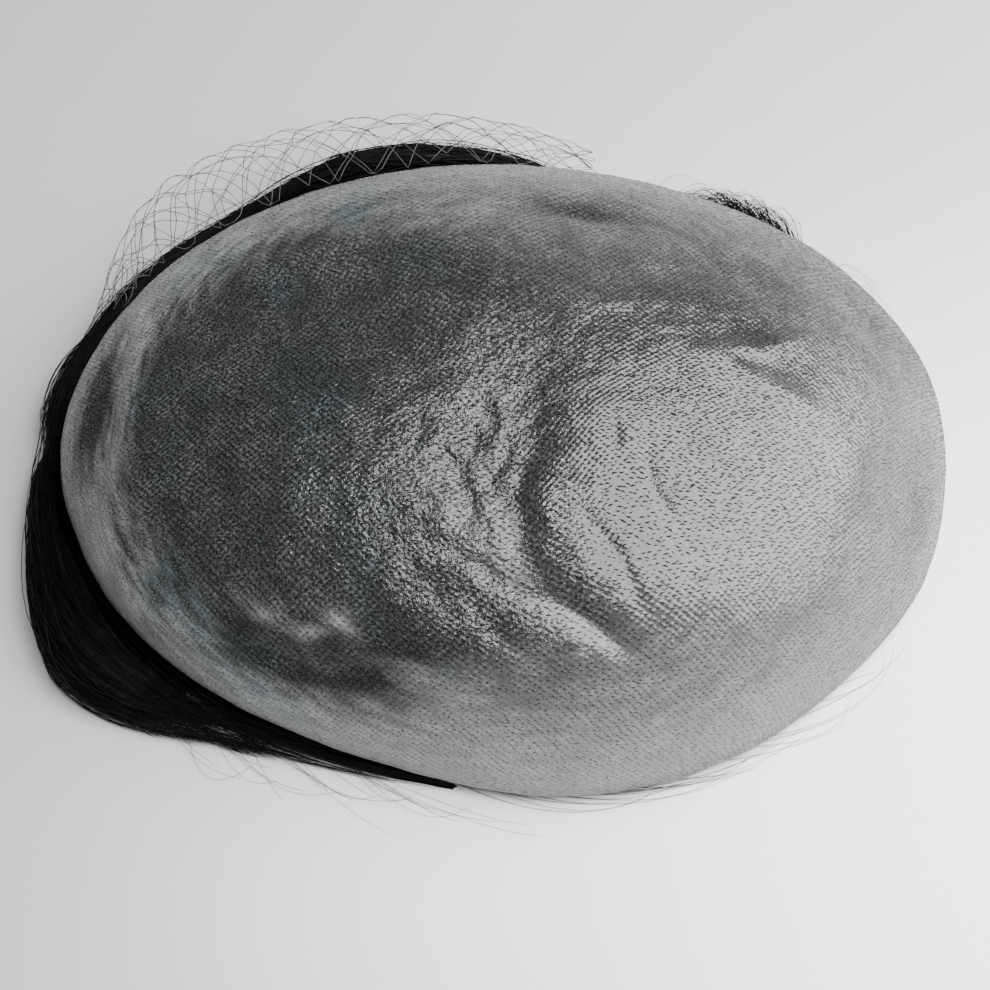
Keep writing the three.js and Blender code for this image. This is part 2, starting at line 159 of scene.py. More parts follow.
CREASES = (
    # The middle valley, and the bumps beside it.
    Crease(((0.12, 0.13), (0.08, -0.02), (0.09, -0.14), (0.06, -0.26)), 4.2, 0.8, 4),
    Crease(((0.07, -0.2), (0.04, -0.34), (0.06, -0.46), (0.12, -0.6)), 4.8, 1.1, 4),
    Crease(((0.1, -0.05), (0.07, -0.14), (0.09, -0.2), (0.05, -0.26)), 3.6, 0.4),
    Crease(((0.05, -0.24), (0.03, -0.33), (0.06, -0.41)), 4.2, 0.6),
    Crease(((0.06, -0.38), (0.04, -0.47), (0.08, -0.57)), 4.6, 0.8),
    Crease(((-0.13, -0.18), (-0.08, -0.24), (-0.06, -0.35)), 2.2, 0.8),
    Crease(((-0.05, -0.23), (-0.02, -0.35), (0.02, -0.47)), 2.0, -0.7),
    Crease(((-0.02, 0.0), (0.02, -0.09), (0.0, -0.19)), 1.8, -0.6),
    Crease(((-0.09, -0.09), (-0.04, -0.16), (-0.05, -0.22)), 1.6, 0.6),
    Crease(((0.03, -0.21), (-0.01, -0.27), (0.0, -0.33)), 1.5, 0.7),
    Crease(((-0.16, -0.27), (-0.11, -0.33), (-0.1, -0.41)), 1.8, -0.6),
    Crease(((-0.2, -0.06), (-0.15, -0.13), (-0.16, -0.2)), 2.0, 0.5),
    # The hollow that the valley is the far wall of.
    Crease(((0.03, 0.02), (0.0, -0.14), (-0.02, -0.28), (0.0, -0.44)), 11, 1.6),
    # The near creases, side by side.
    Crease(((0.1, -0.58), (0.18, -0.64), (0.27, -0.71)), 2.6, 2.0),
    Crease(((-0.14, -0.43), (-0.07, -0.48), (0.01, -0.54), (0.07, -0.59)), 2.2, 0.9),
    Crease(((-0.19, -0.49), (-0.13, -0.56), (-0.08, -0.64)), 2.2, 0.5),
    Crease(((-0.05, -0.6), (0.01, -0.68), (0.09, -0.75)), 2.4, 0.7),
    # The pinch and the fine veins in the smooth part.
    Crease(((0.3, -0.19), (0.32, -0.3), (0.37, -0.4)), 2.0, 0.8),
    Crease(((0.24, -0.11), (0.25, -0.2)), 1.2, 0.35),
    Crease(((0.36, -0.21), (0.35, -0.31)), 1.2, 0.35),
    Crease(((0.14, -0.29), (0.19, -0.39), (0.23, -0.47), (0.29, -0.59)), 1.5, 0.24),
    Crease(((0.21, -0.4), (0.26, -0.5), (0.3, -0.61)), 1.2, 0.25),
    # The front folds.
    Crease(((0.45, 0.11), (0.53, 0.05), (0.61, 0.0), (0.69, -0.04)), 3.4, -1.5),
    Crease(((0.47, 0.13), (0.56, 0.13), (0.64, 0.19)), 2.6, -1.1),
    Crease(((0.73, 0.31), (0.82, 0.27), (0.87, 0.44)), 3.0, 0.7),
    Crease(((0.89, -0.17), (0.92, -0.23), (0.88, -0.33)), 2.6, 0.6),
    Crease(((0.81, -0.11), (0.78, -0.31), (0.73, -0.45)), 3.0, 0.4),
    Crease(((0.63, -0.16), (0.72, -0.11), (0.82, 0.04)), 2.6, 0.3),
    # The nape folds.
    Crease(((-0.5, -0.62), (-0.39, -0.61), (-0.29, -0.66), (-0.26, -0.71)), 2.2, -0.8),
    Crease(((-0.5, -0.67), (-0.35, -0.76), (-0.2, -0.74)), 3.0, 0.9),
    Crease(((-0.18, -0.77), (-0.05, -0.79), (0.13, -0.82)), 2.8, -0.9),
    Crease(((-0.13, -0.85), (0.01, -0.86), (0.13, -0.84)), 2.4, 0.8),
    Crease(((-0.84, 0.12), (-0.84, -0.03), (-0.82, -0.2)), 2.4, 0.9),
    Crease(((-0.78, 0.32), (-0.78, 0.05), (-0.77, -0.13), (-0.73, -0.35)), 2.4, -0.8),
    Crease(((-0.68, -0.44), (-0.6, -0.55), (-0.51, -0.65)), 2.6, -0.5),
    # The far folds.
    Crease(((-0.71, 0.32), (-0.62, 0.4), (-0.51, 0.44)), 2.4, -0.6),
    Crease(((-0.44, 0.42), (-0.34, 0.5), (-0.21, 0.53)), 2.4, -0.5),
    Crease(((-0.2, 0.34), (-0.1, 0.44), (0.04, 0.42)), 2.4, -0.6),
    Crease(((0.14, 0.61), (0.23, 0.59), (0.35, 0.65)), 2.2, 0.6),
    Crease(((0.06, 0.66), (0.14, 0.71), (0.26, 0.71)), 2.2, -0.5),
    Crease(((0.31, 0.37), (0.44, 0.39), (0.57, 0.34)), 3.0, 0.5),
    Crease(((0.45, 0.53), (0.58, 0.46), (0.7, 0.3)), 3.0, -0.5),
    Crease(((0.14, 0.29), (0.22, 0.25), (0.31, 0.27)), 2.2, -0.5),
    # Soft folds in the dark part.
    Crease(((-0.31, 0.26), (-0.2, 0.12), (-0.13, -0.04)), 4.0, 0.6),
    Crease(((-0.51, 0.19), (-0.4, -0.02), (-0.34, -0.2)), 4.0, 0.5),
    Crease(((-0.65, -0.1), (-0.56, -0.26), (-0.53, -0.42)), 3.6, 0.5),
)


def smooth_at(values: Sequence[float], place: np.ndarray, closed: bool) -> np.ndarray:
    """Values between evenly spaced ones, on a smooth curve through them all.

    Args:
        values: the evenly spaced values.
        place: where to read them, in steps from the first.
        closed: whether the last value is followed by the first.

    Returns:
        One value for each place.
    """
    row = np.asarray(values, float)
    first = np.floor(place).astype(int)
    share = place - first
    steps = [first + step for step in (-1, 0, 1, 2)]
    if closed:
        a, b, c, d = (row[step % len(row)] for step in steps)
    else:
        a, b, c, d = (row[np.clip(step, 0, len(row) - 1)] for step in steps)
    pull, next_pull = (c - a) / 2, (d - b) / 2
    bend = 3 * (c - b) - 2 * pull - next_pull + share * (2 * (b - c) + pull + next_pull)
    return b + share * (pull + share * bend)


def unit_vectors(vectors: np.ndarray) -> np.ndarray:
    """The same vectors with a length of 1."""
    return vectors / np.maximum(np.linalg.norm(vectors, axis=-1, keepdims=True), 1e-12)


@dataclass(frozen=True)
class Dome:
    """The form of the skin: a superellipse dome on an uneven rim, with dents pressed into it."""

    length: float = 215 * MM
    width: float = 164 * MM
    crown_height: float = 53 * MM
    side_fullness: float = 2.3
    crown_fullness: float = 2.2
    drop_crowding: float = 1.15
    rim_lift: float = 12 * MM
    rim_spill: float = 5 * MM
    dent_depth: float = 3.4 * MM
    rim: tuple[RimRow, ...] = RIM_ROWS
    dents: tuple[Dent, ...] = DENTS
    centre: tuple[float, float] = (0, 0)

    def rim_share(self, column: str, turn: np.ndarray) -> np.ndarray:
        """One column of the rim's rows at some turns."""
        values = [getattr(row, column) for row in self.rim]
        return smooth_at(values, np.asarray(turn, float) * len(values) / 360, True)

    def lift(self, turn: np.ndarray) -> np.ndarray:
        """The rim's height above the floor."""
        return self.rim_lift * self.rim_share("lift", turn)

    def spill(self, turn: np.ndarray) -> np.ndarray:
        """How far the hair comes out under the rim."""
        return np.maximum(0, self.rim_spill * self.rim_share("spill", turn))

    def plain_point(self, turn: np.ndarray, drop: np.ndarray) -> np.ndarray:
        """Points on the dome with no dents, about its own centre.

        Args:
            turn: turns round the dome, in degrees.
            drop: shares of the way down from the crown, at 0, to the rim, at 1.

        Returns:
            The points.
        """
        turn, drop = np.broadcast_arrays(np.asarray(turn, float), np.asarray(drop, float))
        fall = (math.pi / 2) * np.minimum(1, drop) ** self.drop_crowding
        out = np.sin(fall) ** (2 / self.side_fullness) * self.rim_share("reach", turn)
        up = np.maximum(0, np.cos(fall)) ** (2 / self.crown_fullness)
        lift = self.lift(turn)
        angle = np.radians(turn)
        return np.stack(
            [
                self.length / 2 * out * np.cos(angle),
                self.width / 2 * out * np.sin(angle),
                lift + (self.crown_height - lift) * up,
            ],
            axis=-1,
        )

    def plain_normal(self, turn: np.ndarray, drop: np.ndarray) -> np.ndarray:
        """Outward normals of the dome with no dents.

        Args:
            turn: turns round the dome, in degrees.
            drop: shares of the way down from the crown, at 0, to the rim, at 1.

        Returns:
            The normals, each of length 1.
        """
        side, fall = 1.0, 0.01
        turn, drop = np.broadcast_arrays(np.asarray(turn, float), np.asarray(drop, float))
        drop = np.maximum(drop, 2 * fall)
        around = self.plain_point(turn + side, drop) - self.plain_point(turn - side, drop)
        down = self.plain_point(turn, drop + fall) - self.plain_point(turn, drop - fall)
        return unit_vectors(np.cross(down, around))

    def relief(self, x: np.ndarray, y: np.ndarray, rows: Sequence[Dent]) -> np.ndarray:
        """How deep some dents are at places seen from above, about the dome's centre.

        Args:
            x: places along the dome.
            y: places across it.
            rows: the dents.

        Returns:
            The depths, in metres.
        """
        half = self.width / 2
        depth = np.zeros(np.shape(x))
        for row in rows:
            slant = math.radians(row.slant)
            dx = x - row.along * self.length / 2
            dy = y - row.across * self.width / 2
            u = (dx * math.cos(slant) + dy * math.sin(slant)) / (row.length * half)
            v = (dy * math.cos(slant) - dx * math.sin(slant)) / (row.width * half)
            depth += self.dent_depth * row.depth * np.exp(-u * u - v * v)
        return depth

    def surface(self, turn: np.ndarray, drop: np.ndarray, distance: float = 0) -> np.ndarray:
        """Points off the dented skin's outer face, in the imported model's frame.

        Args:
            turn: turns round the dome, in degrees.
            drop: shares of the way down from the crown, at 0, to the rim, at 1.
            distance: how far off the face the points lie.

        Returns:
            The points.
        """
        plain = self.plain_point(turn, drop)
        depth = self.relief(plain[..., 0], plain[..., 1], self.dents)
        normal = self.plain_normal(turn, drop)
        return plain + normal * (distance - depth)[..., None] + self.offset()

    def offset(self) -> np.ndarray:
        """The dome's centre as a vector."""
        return np.array([*self.centre, 0.0])

    def outward(self, turn: np.ndarray) -> np.ndarray:
        """Level directions out from the rim.

        Args:
            turn: turns round the dome, in degrees.

        Returns:
            The directions, each of length 1.
        """
        normal = self.plain_normal(turn, np.ones(np.shape(turn)))
        normal[..., 2] = 0
        return unit_vectors(normal)

    def beside_rim(self, turn: np.ndarray, out: np.ndarray, height: np.ndarray) -> np.ndarray:
        """Points out from the rim by a distance, at a height.

        Args:
            turn: turns round the dome, in degrees.
            out: how far out from the rim the points lie.
            height: how far above the floor they lie.

        Returns:
            The points.
        """
        rim = self.surface(turn, np.ones(np.shape(turn)))
        place = rim + self.outward(turn) * np.asarray(out, float)[..., None]
        place[..., 2] = height
        return place

    def seated_on(self, node: str) -> "Dome":
        """The same dome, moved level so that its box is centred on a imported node's box.

        Args:
            node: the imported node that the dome's skin stands for.

        Returns:
            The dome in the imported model's frame.
        """
        low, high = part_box(node)
        steps = np.linspace(0, 1, CAD_DROPS + 1)
        turns, drops = np.meshgrid(np.arange(0, 360, 360 / CAD_TURNS), steps)
        own = self.surface(turns, drops).reshape(-1, 3)
        middle = (Vector(low) + Vector(high)) / 2 - Vector((own.min(0) + own.max(0)) / 2)
        return replace(self, centre=(middle.x, middle.y))


@dataclass
class FlatMap:
    """The skin smoothed out flat round its crown, which its rows of hair follow."""

    dome: Dome
    turn_step: float = 5
    drop_steps: int = 60
    halvings: int = 16
    off_skin: float = 2
    arcs: np.ndarray = field(init=False)

    def __post_init__(self) -> None:
        """Measure the way down the dome from the crown, at every step."""
        turns = np.arange(0, 360, self.turn_step)
        drops = np.linspace(0, 1, self.drop_steps + 1)
        grid = self.dome.plain_point(turns[:, None], drops[None, :])
        self.arcs = np.zeros(grid.shape[:2])
        self.arcs[:, 1:] = np.cumsum(np.linalg.norm(np.diff(grid, axis=1), axis=2), axis=1)

    def arc(self, turn: np.ndarray, drop: np.ndarray) -> np.ndarray:
        """The way down the dome from the crown to some points.

        Args:
            turn: turns round the dome, in degrees.
            drop: shares of the way down from the crown, at 0, to the rim, at 1.

        Returns:
            The lengths of the way, in metres.
        """
        row = np.mod(turn, 360) / self.turn_step
        first = np.floor(row).astype(int) % len(self.arcs)
        second = (first + 1) % len(self.arcs)
        share = row - np.floor(row)
        column = np.clip(drop, 0, 1) * self.drop_steps
        left = np.minimum(np.floor(column).astype(int), self.drop_steps - 1)
        part = column - left
        near = self.arcs[first, left] * (1 - part) + self.arcs[first, left + 1] * part
        far = self.arcs[second, left] * (1 - part) + self.arcs[second, left + 1] * part
        return near * (1 - share) + far * share

    def place(self, turn: np.ndarray, drop: np.ndarray) -> np.ndarray:
        """Where points of the skin lie in the flat.

        Args:
            turn: turns round the dome, in degrees.
            drop: shares of the way down from the crown, at 0, to the rim, at 1.

        Returns:
            The places, as pairs in metres.
        """
        arc = self.arc(turn, drop)
        angle = np.radians(turn)
        return np.stack([arc * np.cos(angle), arc * np.sin(angle)], axis=-1)

    def turn_and_drop(self, place: np.ndarray) -> tuple[np.ndarray, np.ndarray]:
        """Where points of the flat lie on the skin, with drops past 1 for those off it.

        Args:
            place: places in the flat, as pairs in metres.

        Returns:
            Their turns and their drops.
        """
        turn = np.degrees(np.arctan2(place[..., 1], place[..., 0]))
        arc = np.hypot(place[..., 0], place[..., 1])
        low, high = np.zeros(arc.shape), np.ones(arc.shape)
        for _ in range(self.halvings):
            middle = (low + high) / 2
            short = self.arc(turn, middle) < arc
            low, high = np.where(short, middle, low), np.where(short, high, middle)
        off = arc > self.arc(turn, np.ones(arc.shape))
        return turn, np.where(off, self.off_skin, (low + high) / 2)


# Mesh helpers


def plain_object(name: str, mesh: bpy.types.Mesh) -> bpy.types.Object:
    """An object at the origin with smooth faces.

    Args:
        name: the object's name.
        mesh: its mesh.

    Returns:
        The object.
    """
    mesh.polygons.foreach_set("use_smooth", [True] * len(mesh.polygons))
    mesh.update()
    piece = bpy.data.objects.new(name, mesh)
    bpy.context.scene.collection.objects.link(piece)
    return piece


def mesh_of(name: str, form: bmesh.types.BMesh) -> bpy.types.Mesh:
    """A mesh of a bmesh, which is freed.

    Args:
        name: the mesh's name.
        form: the bmesh.

    Returns:
        The mesh.
    """
    mesh = bpy.data.meshes.new(name)
    form.to_mesh(mesh)
    form.free()
    return mesh


def hold(mesh: bpy.types.Mesh, name: str, values: Sequence[float]) -> None:
    """Keep a number for each vertex in a mesh, under a name that its finish reads."""
    mesh.attributes.new(name, "FLOAT", "POINT").data.foreach_set("value", values)


@dataclass(frozen=True)
class Unit:
    """A small closed shape that is repeated: its vertices and its faces."""

    points: np.ndarray
    faces: tuple[tuple[int, ...], ...]

    @classmethod
    def of(cls, form: bmesh.types.BMesh) -> "Unit":
        """The unit that a bmesh holds, which is freed.

        Args:
            form: the bmesh.

        Returns:
            The unit.
        """
        bmesh.ops.recalc_face_normals(form, faces=form.faces[:])
        form.verts.ensure_lookup_table()
        points = np.array([vertex.co[:] for vertex in form.verts])
        faces = tuple(tuple(v.index for v in face.verts) for face in form.faces)
        form.free()
        return cls(points, faces)

    def joined(self, name: str, copies: np.ndarray) -> bpy.types.Mesh:
        """One mesh of many copies of the unit.

        Args:
            name: the mesh's name.
            copies: the vertices of each copy, as an array of copies by vertices by 3.

        Returns:
            The joined mesh.
        """
        count, size = copies.shape[:2]
        faces = [
            tuple(index + first for index in face)
            for first in range(0, count * size, size)
            for face in self.faces
        ]
        mesh = bpy.data.meshes.new(name)
        mesh.from_pydata(copies.reshape(-1, 3), [], faces)
        return mesh


def tube_unit(rings: int, sides: int) -> Unit:
    """A closed tube of radius 1 whose Z holds the number of each ring.

    Args:
        rings: how many rings it has from end to end.
        sides: how many sides each ring has.

    Returns:
        The tube, whose vertices run from z = 0 to z = rings - 1.
    """
    form = bmesh.new()
    bmesh.ops.create_circle(form, cap_ends=True, radius=1, segments=sides)
    ring = form.faces[:]
    for _ in range(rings - 1):
        grown = bmesh.ops.extrude_face_region(form, geom=ring)["geom"]
        bmesh.ops.delete(form, geom=ring, context="FACES_KEEP_BOUNDARY")
        ring = [part for part in grown if isinstance(part, bmesh.types.BMFace)]
        moved = [part for part in grown if isinstance(part, bmesh.types.BMVert)]
        bmesh.ops.translate(form, vec=(0, 0, 1), verts=moved)
    low = [vertex for vertex in form.verts if vertex.co.z < 0.5]
    bmesh.ops.contextual_create(form, geom=low)
    return Unit.of(form)


def swept(name: str, paths: np.ndarray, radii: np.ndarray, sides: int = 3) -> bpy.types.Mesh:
    """One mesh of closed tubes along many paths.

    Args:
        name: the mesh's name.
        paths: the tubes' middles, as an array of tubes by points by 3.
        radii: the tubes' radii, as an array of tubes by points.
        sides: how many sides a tube has.

    Returns:
        The joined mesh, with a random shade for each tube in its attribute "shade" and its
        length from 0 to 1 in its attribute "run".
    """
    count, rings = paths.shape[:2]
    unit = tube_unit(rings, sides)
    along = unit_vectors(np.gradient(paths, axis=1))
    level = np.broadcast_to(np.array(NEARLY_UP), along.shape)
    side = unit_vectors(np.cross(along, level))
    top = np.cross(side, along)
    ring = np.rint(unit.points[:, 2]).astype(int)
    spread = side[:, ring] * unit.points[:, 0, None] + top[:, ring] * unit.points[:, 1, None]
    copies = paths[:, ring] + spread * radii[:, ring, None]
    mesh = unit.joined(name, copies)
    shade = np.random.default_rng(len(paths)).random(count)
    hold(mesh, "shade", np.repeat(shade, len(ring)))
    hold(mesh, "run", np.tile(ring / (rings - 1), count))
    return mesh


def tapered(count: int, points: int, radius: tuple[float, float], seed: int) -> np.ndarray:
    """How thick some strands are along their length, thin at both ends.

    Args:
        count: how many strands there are.
        points: how many points each of them has.
        radius: the least and the greatest radius that a strand may have.
        seed: the seed of the random numbers.

    Returns:
        The radii, as an array of strands by points.
    """
    thick = np.random.default_rng(seed).uniform(*radius, count)[:, None]
    share = np.linspace(0, 1, points)[None, :]
    return thick * (END_SHARE + (1 - END_SHARE) * np.sin(math.pi * share) ** 0.5)


# Finishes


@dataclass
class Nodes:
    """A material's node tree, and short ways to add to it."""

    material: bpy.types.Material

    @classmethod
    def fresh(cls, name: str) -> "Nodes":
        """A new material with nothing but a shader and its output.

        Args:
            name: the material's name.

        Returns:
            Its nodes.
        """
        material = bpy.data.materials.new(name)
        material.use_nodes = True
        return cls(material)

    @property
    def shader(self) -> bpy.types.Node:
        """The material's shader."""
        return self.material.node_tree.nodes["Principled BSDF"]

    def add(self, kind: str, inputs: dict | None = None, **settings: object) -> bpy.types.Node:
        """A new node.

        Args:
            kind: its type, such as ShaderNodeMath.
            inputs: values or sockets for its inputs, by name or number.
            settings: values for its own properties.

        Returns:
            The node.
        """
        node = self.material.node_tree.nodes.new(kind)
        for name, value in settings.items():
            setattr(node, name, value)
        for key, value in (inputs or {}).items():
            self.feed(node.inputs[key], value)
        return node

    def feed(self, socket: bpy.types.NodeSocket, value: object) -> None:
        """Give an input a value, or link it to a socket.

        Args:
            socket: the input.
            value: a value, or the socket to link to it.
        """
        if isinstance(value, bpy.types.NodeSocket):
            self.material.node_tree.links.new(value, socket)
        else:
            socket.default_value = value

    def maths(self, operation: str, *values: object) -> bpy.types.NodeSocket:
        """The result of a Math node."""
        inputs = dict(enumerate(values))
        return self.add("ShaderNodeMath", inputs, operation=operation).outputs[0]

    def attribute(self, name: str) -> bpy.types.NodeSocket:
        """A number that the mesh holds at each vertex."""
        return self.add("ShaderNodeAttribute", attribute_name=name).outputs["Fac"]

    def direction(self, name: str) -> bpy.types.NodeSocket:
        """A vector that the mesh holds at each vertex."""
        return self.add("ShaderNodeAttribute", attribute_name=name).outputs["Vector"]

    def nearer(self, place: bpy.types.NodeSocket, low: float, high: float) -> object:
        """A share that falls from 1 to 0 between two places along X."""
        split = self.add("ShaderNodeSeparateXYZ", {0: place})
        return self.span(split.outputs[0], low, high, (1, 0))

    def noise(self, place: bpy.types.NodeSocket, scale: float, detail: float = 2) -> object:
        """A noise of a size given as its scale for each metre."""
        inputs = {"Vector": place, "Scale": scale, "Detail": detail}
        return self.add("ShaderNodeTexNoise", inputs).outputs["Fac"]

    def span(self, value: object, low: float, high: float, to: tuple = (0, 1)) -> object:
        """A value eased from one range to another, and held inside it."""
        inputs = {0: value, 1: low, 2: high, 3: to[0], 4: to[1]}
        return self.add("ShaderNodeMapRange", inputs, interpolation_type="SMOOTHSTEP").outputs[0]

    def blend(self, share: object, first: object, second: object) -> bpy.types.NodeSocket:
        """A colour between two others.

        Args:
            share: how far the colour goes to the second.
            first: the colour at 0.
            second: the colour at 1.

        Returns:
            The colour's socket.
        """
        node = self.add("ShaderNodeMix", data_type="RGBA")
        self.feed(node.inputs["Factor"], share)
        self.feed(node.inputs[6], first)
        self.feed(node.inputs[7], second)
        return node.outputs[2]

    def bump(self, height: object, depth: float, under: object = None) -> bpy.types.NodeSocket:
        """A bump whose height of 1 stands for a depth in metres.

        Args:
            height: the height's socket, from 0 to 1.
            depth: what a height of 1 stands for, in metres.
            under: the bump that this one lies on, if any.

        Returns:
            The normal's socket.
        """
        node = self.add("ShaderNodeBump", {"Height": height, "Distance": depth, "Strength": 1})
        if under is not None:
            self.feed(node.inputs["Normal"], under)
        return node.outputs["Normal"]


def grey(level: float, tint: tuple[float, float, float] = (1, 1, 1)) -> tuple:
    """A colour as red, green, blue and 1, from a level and a tint."""
    return (*(level * part for part in tint), 1.0)


@dataclass(frozen=True)
class FilmFinish:
    """Glossy clear film on black hair: dark where it clings, milky where it stands off.

    The mesh holds the flat place of each corner in its UV map "film", in meshes of the hair's
    lattice. It holds at each vertex how far the film stands off as "haze", how milky it looks
    there as "milk", how lumpy it is as "lumps", and its place for streaks round the rim as
    "combed". The first two also hold painted light, which makes the rim paler, most on the near
    side. Over the hair the film is specked with painted glints, and it is darker over the knots
    as painted shade. tinge_end and nape are the places along X where the tinge of the painted
    glints and the streaks fade.
    """

    name: str = "skin_film"
    dark: float = 0.01
    milky: float = 0.36
    tint: tuple[float, float, float] = (1.0, 1.0, 0.985)
    gloss: float = 0.13
    matt: float = 0.42
    mesh_height: float = 0.05 * MM
    grain_height: float = 0.4 * MM
    grain_scale: float = 1150
    pucker_height: float = 1.6 * MM
    pucker_scale: float = 150
    streak_scale: float = 110
    speck_scale: float = 1700
    fibre_scale: float = 90
    # Tints of the painted glints.
    cold: tuple[float, float, float] = (0.8, 1.06, 1.06)
    warm: tuple[float, float, float] = (1.06, 1.0, 0.94)
    hue_scale: float = 45
    usual: tuple[float, float] = (0.3, 0.7)
    tinge_end: tuple[float, float] = (-0.04, 0.0)
    nape: tuple[float, float] = (-0.08, 0.01)
    front_comb: float = 0.25
    ragged: float = 0.32
    streaked: float = 0.16
    clouded: tuple[float, float] = (0.9, 1.08)
    # How bright the painted glints are, where the cloud noise is low and where it is high.
    lightened: tuple[float, float] = (0.07, 0.18)
    # How dark the painted shade over the knots leaves the film.
    knots: float = 0.84
    pucker_floor: float = 0.05
    density: float = 1.5

    def material(self) -> bpy.types.Material:
        """The film's material.

        Returns:
            The material.
        """
        nodes = Nodes.fresh(self.name)
        place = nodes.add("ShaderNodeTexCoord").outputs["Object"]
        flat = nodes.add("ShaderNodeUVMap", uv_map="film").outputs["UV"]
        split = nodes.add("ShaderNodeSeparateXYZ", {0: flat})
        turn_u = nodes.maths("MULTIPLY", split.outputs[0], 2 * math.pi)
        turn_v = nodes.maths("MULTIPLY", split.outputs[1], 2 * math.pi)
        lattice = nodes.maths(
            "MULTIPLY", nodes.maths("COSINE", turn_u), nodes.maths("COSINE", turn_v)
        )
        lumps = nodes.attribute("lumps")
        grain = nodes.noise(place, self.grain_scale, 2)
        pucker = nodes.noise(place, self.pucker_scale, 3)
        # The film's milky look, with the painted light of its rim, painted glints and painted
        # shade over the knots.
        milk_and_light = self.milk_light_and_shade(nodes, place, lattice)
        # The warm and cold tints colour the painted glints in the clear part of the film, towards
        # the nape.
        hue = nodes.noise(place, self.hue_scale, 2)
        clear = nodes.maths("SUBTRACT", 1, nodes.attribute("haze_and_light"))
        tinged = nodes.maths("MULTIPLY", clear, nodes.nearer(place, *self.tinge_end))
        warm = nodes.maths("MULTIPLY", nodes.span(hue, 0.36, 0.5, (1, 0)), tinged)
        cold = nodes.maths("MULTIPLY", nodes.span(hue, 0.5, 0.64), tinged)
        milky = nodes.blend(warm, grey(self.milky, self.tint), grey(self.milky, self.warm))
        milky = nodes.blend(cold, milky, grey(self.milky, self.cold))
        colour = nodes.blend(milk_and_light, grey(self.dark, self.tint), milky)
        nodes.feed(nodes.shader.inputs["Base Color"], colour)
        rough = nodes.span(milk_and_light, 0.05, 0.6, (self.gloss, self.matt))
        nodes.feed(nodes.shader.inputs["Roughness"], rough)
        mesh = nodes.bump(nodes.maths("MULTIPLY", lattice, 0.5), self.mesh_height)
        ridged = nodes.maths("ABSOLUTE", nodes.maths("SUBTRACT", pucker, 0.5))
        puckered = nodes.bump(nodes.maths("MULTIPLY", ridged, lumps), self.pucker_height, mesh)
        share = nodes.span(lumps, 0, 1, (self.pucker_floor, 1))
        normal = nodes.bump(nodes.maths("MULTIPLY", grain, share), self.grain_height, puckered)
        nodes.feed(nodes.shader.inputs["Normal"], normal)
        nodes.shader.inputs["IOR"].default_value = self.density
        return nodes.material

    def milk_light_and_shade(
        self,
        nodes: Nodes,
        place: bpy.types.NodeSocket,
        lattice: bpy.types.NodeSocket,
    ) -> bpy.types.NodeSocket:
        """How milky the film looks: ragged at the edge of its milky ring, with painted glints
        specked over the hair and painted shade over the knots.

        Args:
            nodes: the film's node tree.
            place: where each point of the film is.
            lattice: the wave of the hair's rows.

        Returns:
            A share from 0 to 1.
        """
        haze_and_light = nodes.attribute("haze_and_light")
        cloud = nodes.noise(place, self.streak_scale, 5)
        fibre = nodes.noise(nodes.direction("combed"), self.fibre_scale, 4)
        speck = nodes.noise(place, self.speck_scale, 1)
        clear = nodes.maths("SUBTRACT", 1, haze_and_light)
        edge = nodes.maths("MULTIPLY", nodes.maths("MULTIPLY", haze_and_light, clear), 4)
        rest = 1 - self.front_comb
        nape = nodes.maths("MULTIPLY_ADD", nodes.nearer(place, *self.nape), rest, self.front_comb)
        comb = nodes.maths("MULTIPLY", nape, nodes.span(fibre, *self.usual, (-1, 1)))
        ragged = nodes.maths("MULTIPLY", edge, nodes.maths("MULTIPLY", comb, self.ragged))
        cover = nodes.maths("MAXIMUM", nodes.maths("ADD", haze_and_light, ragged), 0)
        clouded = nodes.span(cloud, *self.usual, self.clouded)
        level = nodes.maths("MULTIPLY_ADD", comb, self.streaked, clouded)
        level = nodes.maths("MULTIPLY", nodes.attribute("milk_and_light"), level)
        # Painted glints: light specks, brightest between the knots and faint over them.
        between = nodes.span(lattice, -0.7, 0.5, (1.2, 0.45))
        dots = nodes.maths("MULTIPLY", nodes.span(speck, 0.36, 0.66), between)
        painted_glints = nodes.maths("MULTIPLY", dots, nodes.span(cloud, 0.35, 0.7, self.lightened))
        film = nodes.maths("ADD", nodes.maths("MULTIPLY", cover, level), painted_glints)
        # Painted shade: the film is made darker over the knots.
        return nodes.maths("MULTIPLY", film, nodes.span(lattice, 0.1, 0.9, (1, self.knots)))


@dataclass(frozen=True)
class HairFinish:
    """Natural black hair, each strand a shade of its own, with a soft shine along it."""

    name: str = "black_hair"
    dark: float = 0.0012
    light: float = 0.005
    tint: tuple[float, float, float] = (1.0, 1.0, 1.02)
    roughness: float = 0.5
    sleek: float = 0.08
    dull: float = 0.12
    shine: float = 0.1
    streak_scale: float = 900
    streak_height: float = 0.12 * MM

    def material(self) -> bpy.types.Material:
        """The hair's material.

        Returns:
            The material.
        """
        nodes = Nodes.fresh(self.name)
        place = nodes.add("ShaderNodeTexCoord").outputs["Object"]
        shade = nodes.attribute("shade")
        mottle = nodes.noise(place, self.streak_scale, 3)
        share = nodes.maths("MULTIPLY", nodes.maths("ADD", shade, mottle), 0.5)
        colour = nodes.blend(share, grey(self.dark, self.tint), grey(self.light, self.tint))
        nodes.feed(nodes.shader.inputs["Base Color"], colour)
        rough = nodes.span(shade, 0, 1, (self.roughness - self.sleek, self.roughness + self.dull))
        nodes.feed(nodes.shader.inputs["Roughness"], rough)
        normal = nodes.bump(mottle, self.streak_height)
        nodes.feed(nodes.shader.inputs["Normal"], normal)
        nodes.shader.inputs["Specular IOR Level"].default_value = self.shine
        return nodes.material


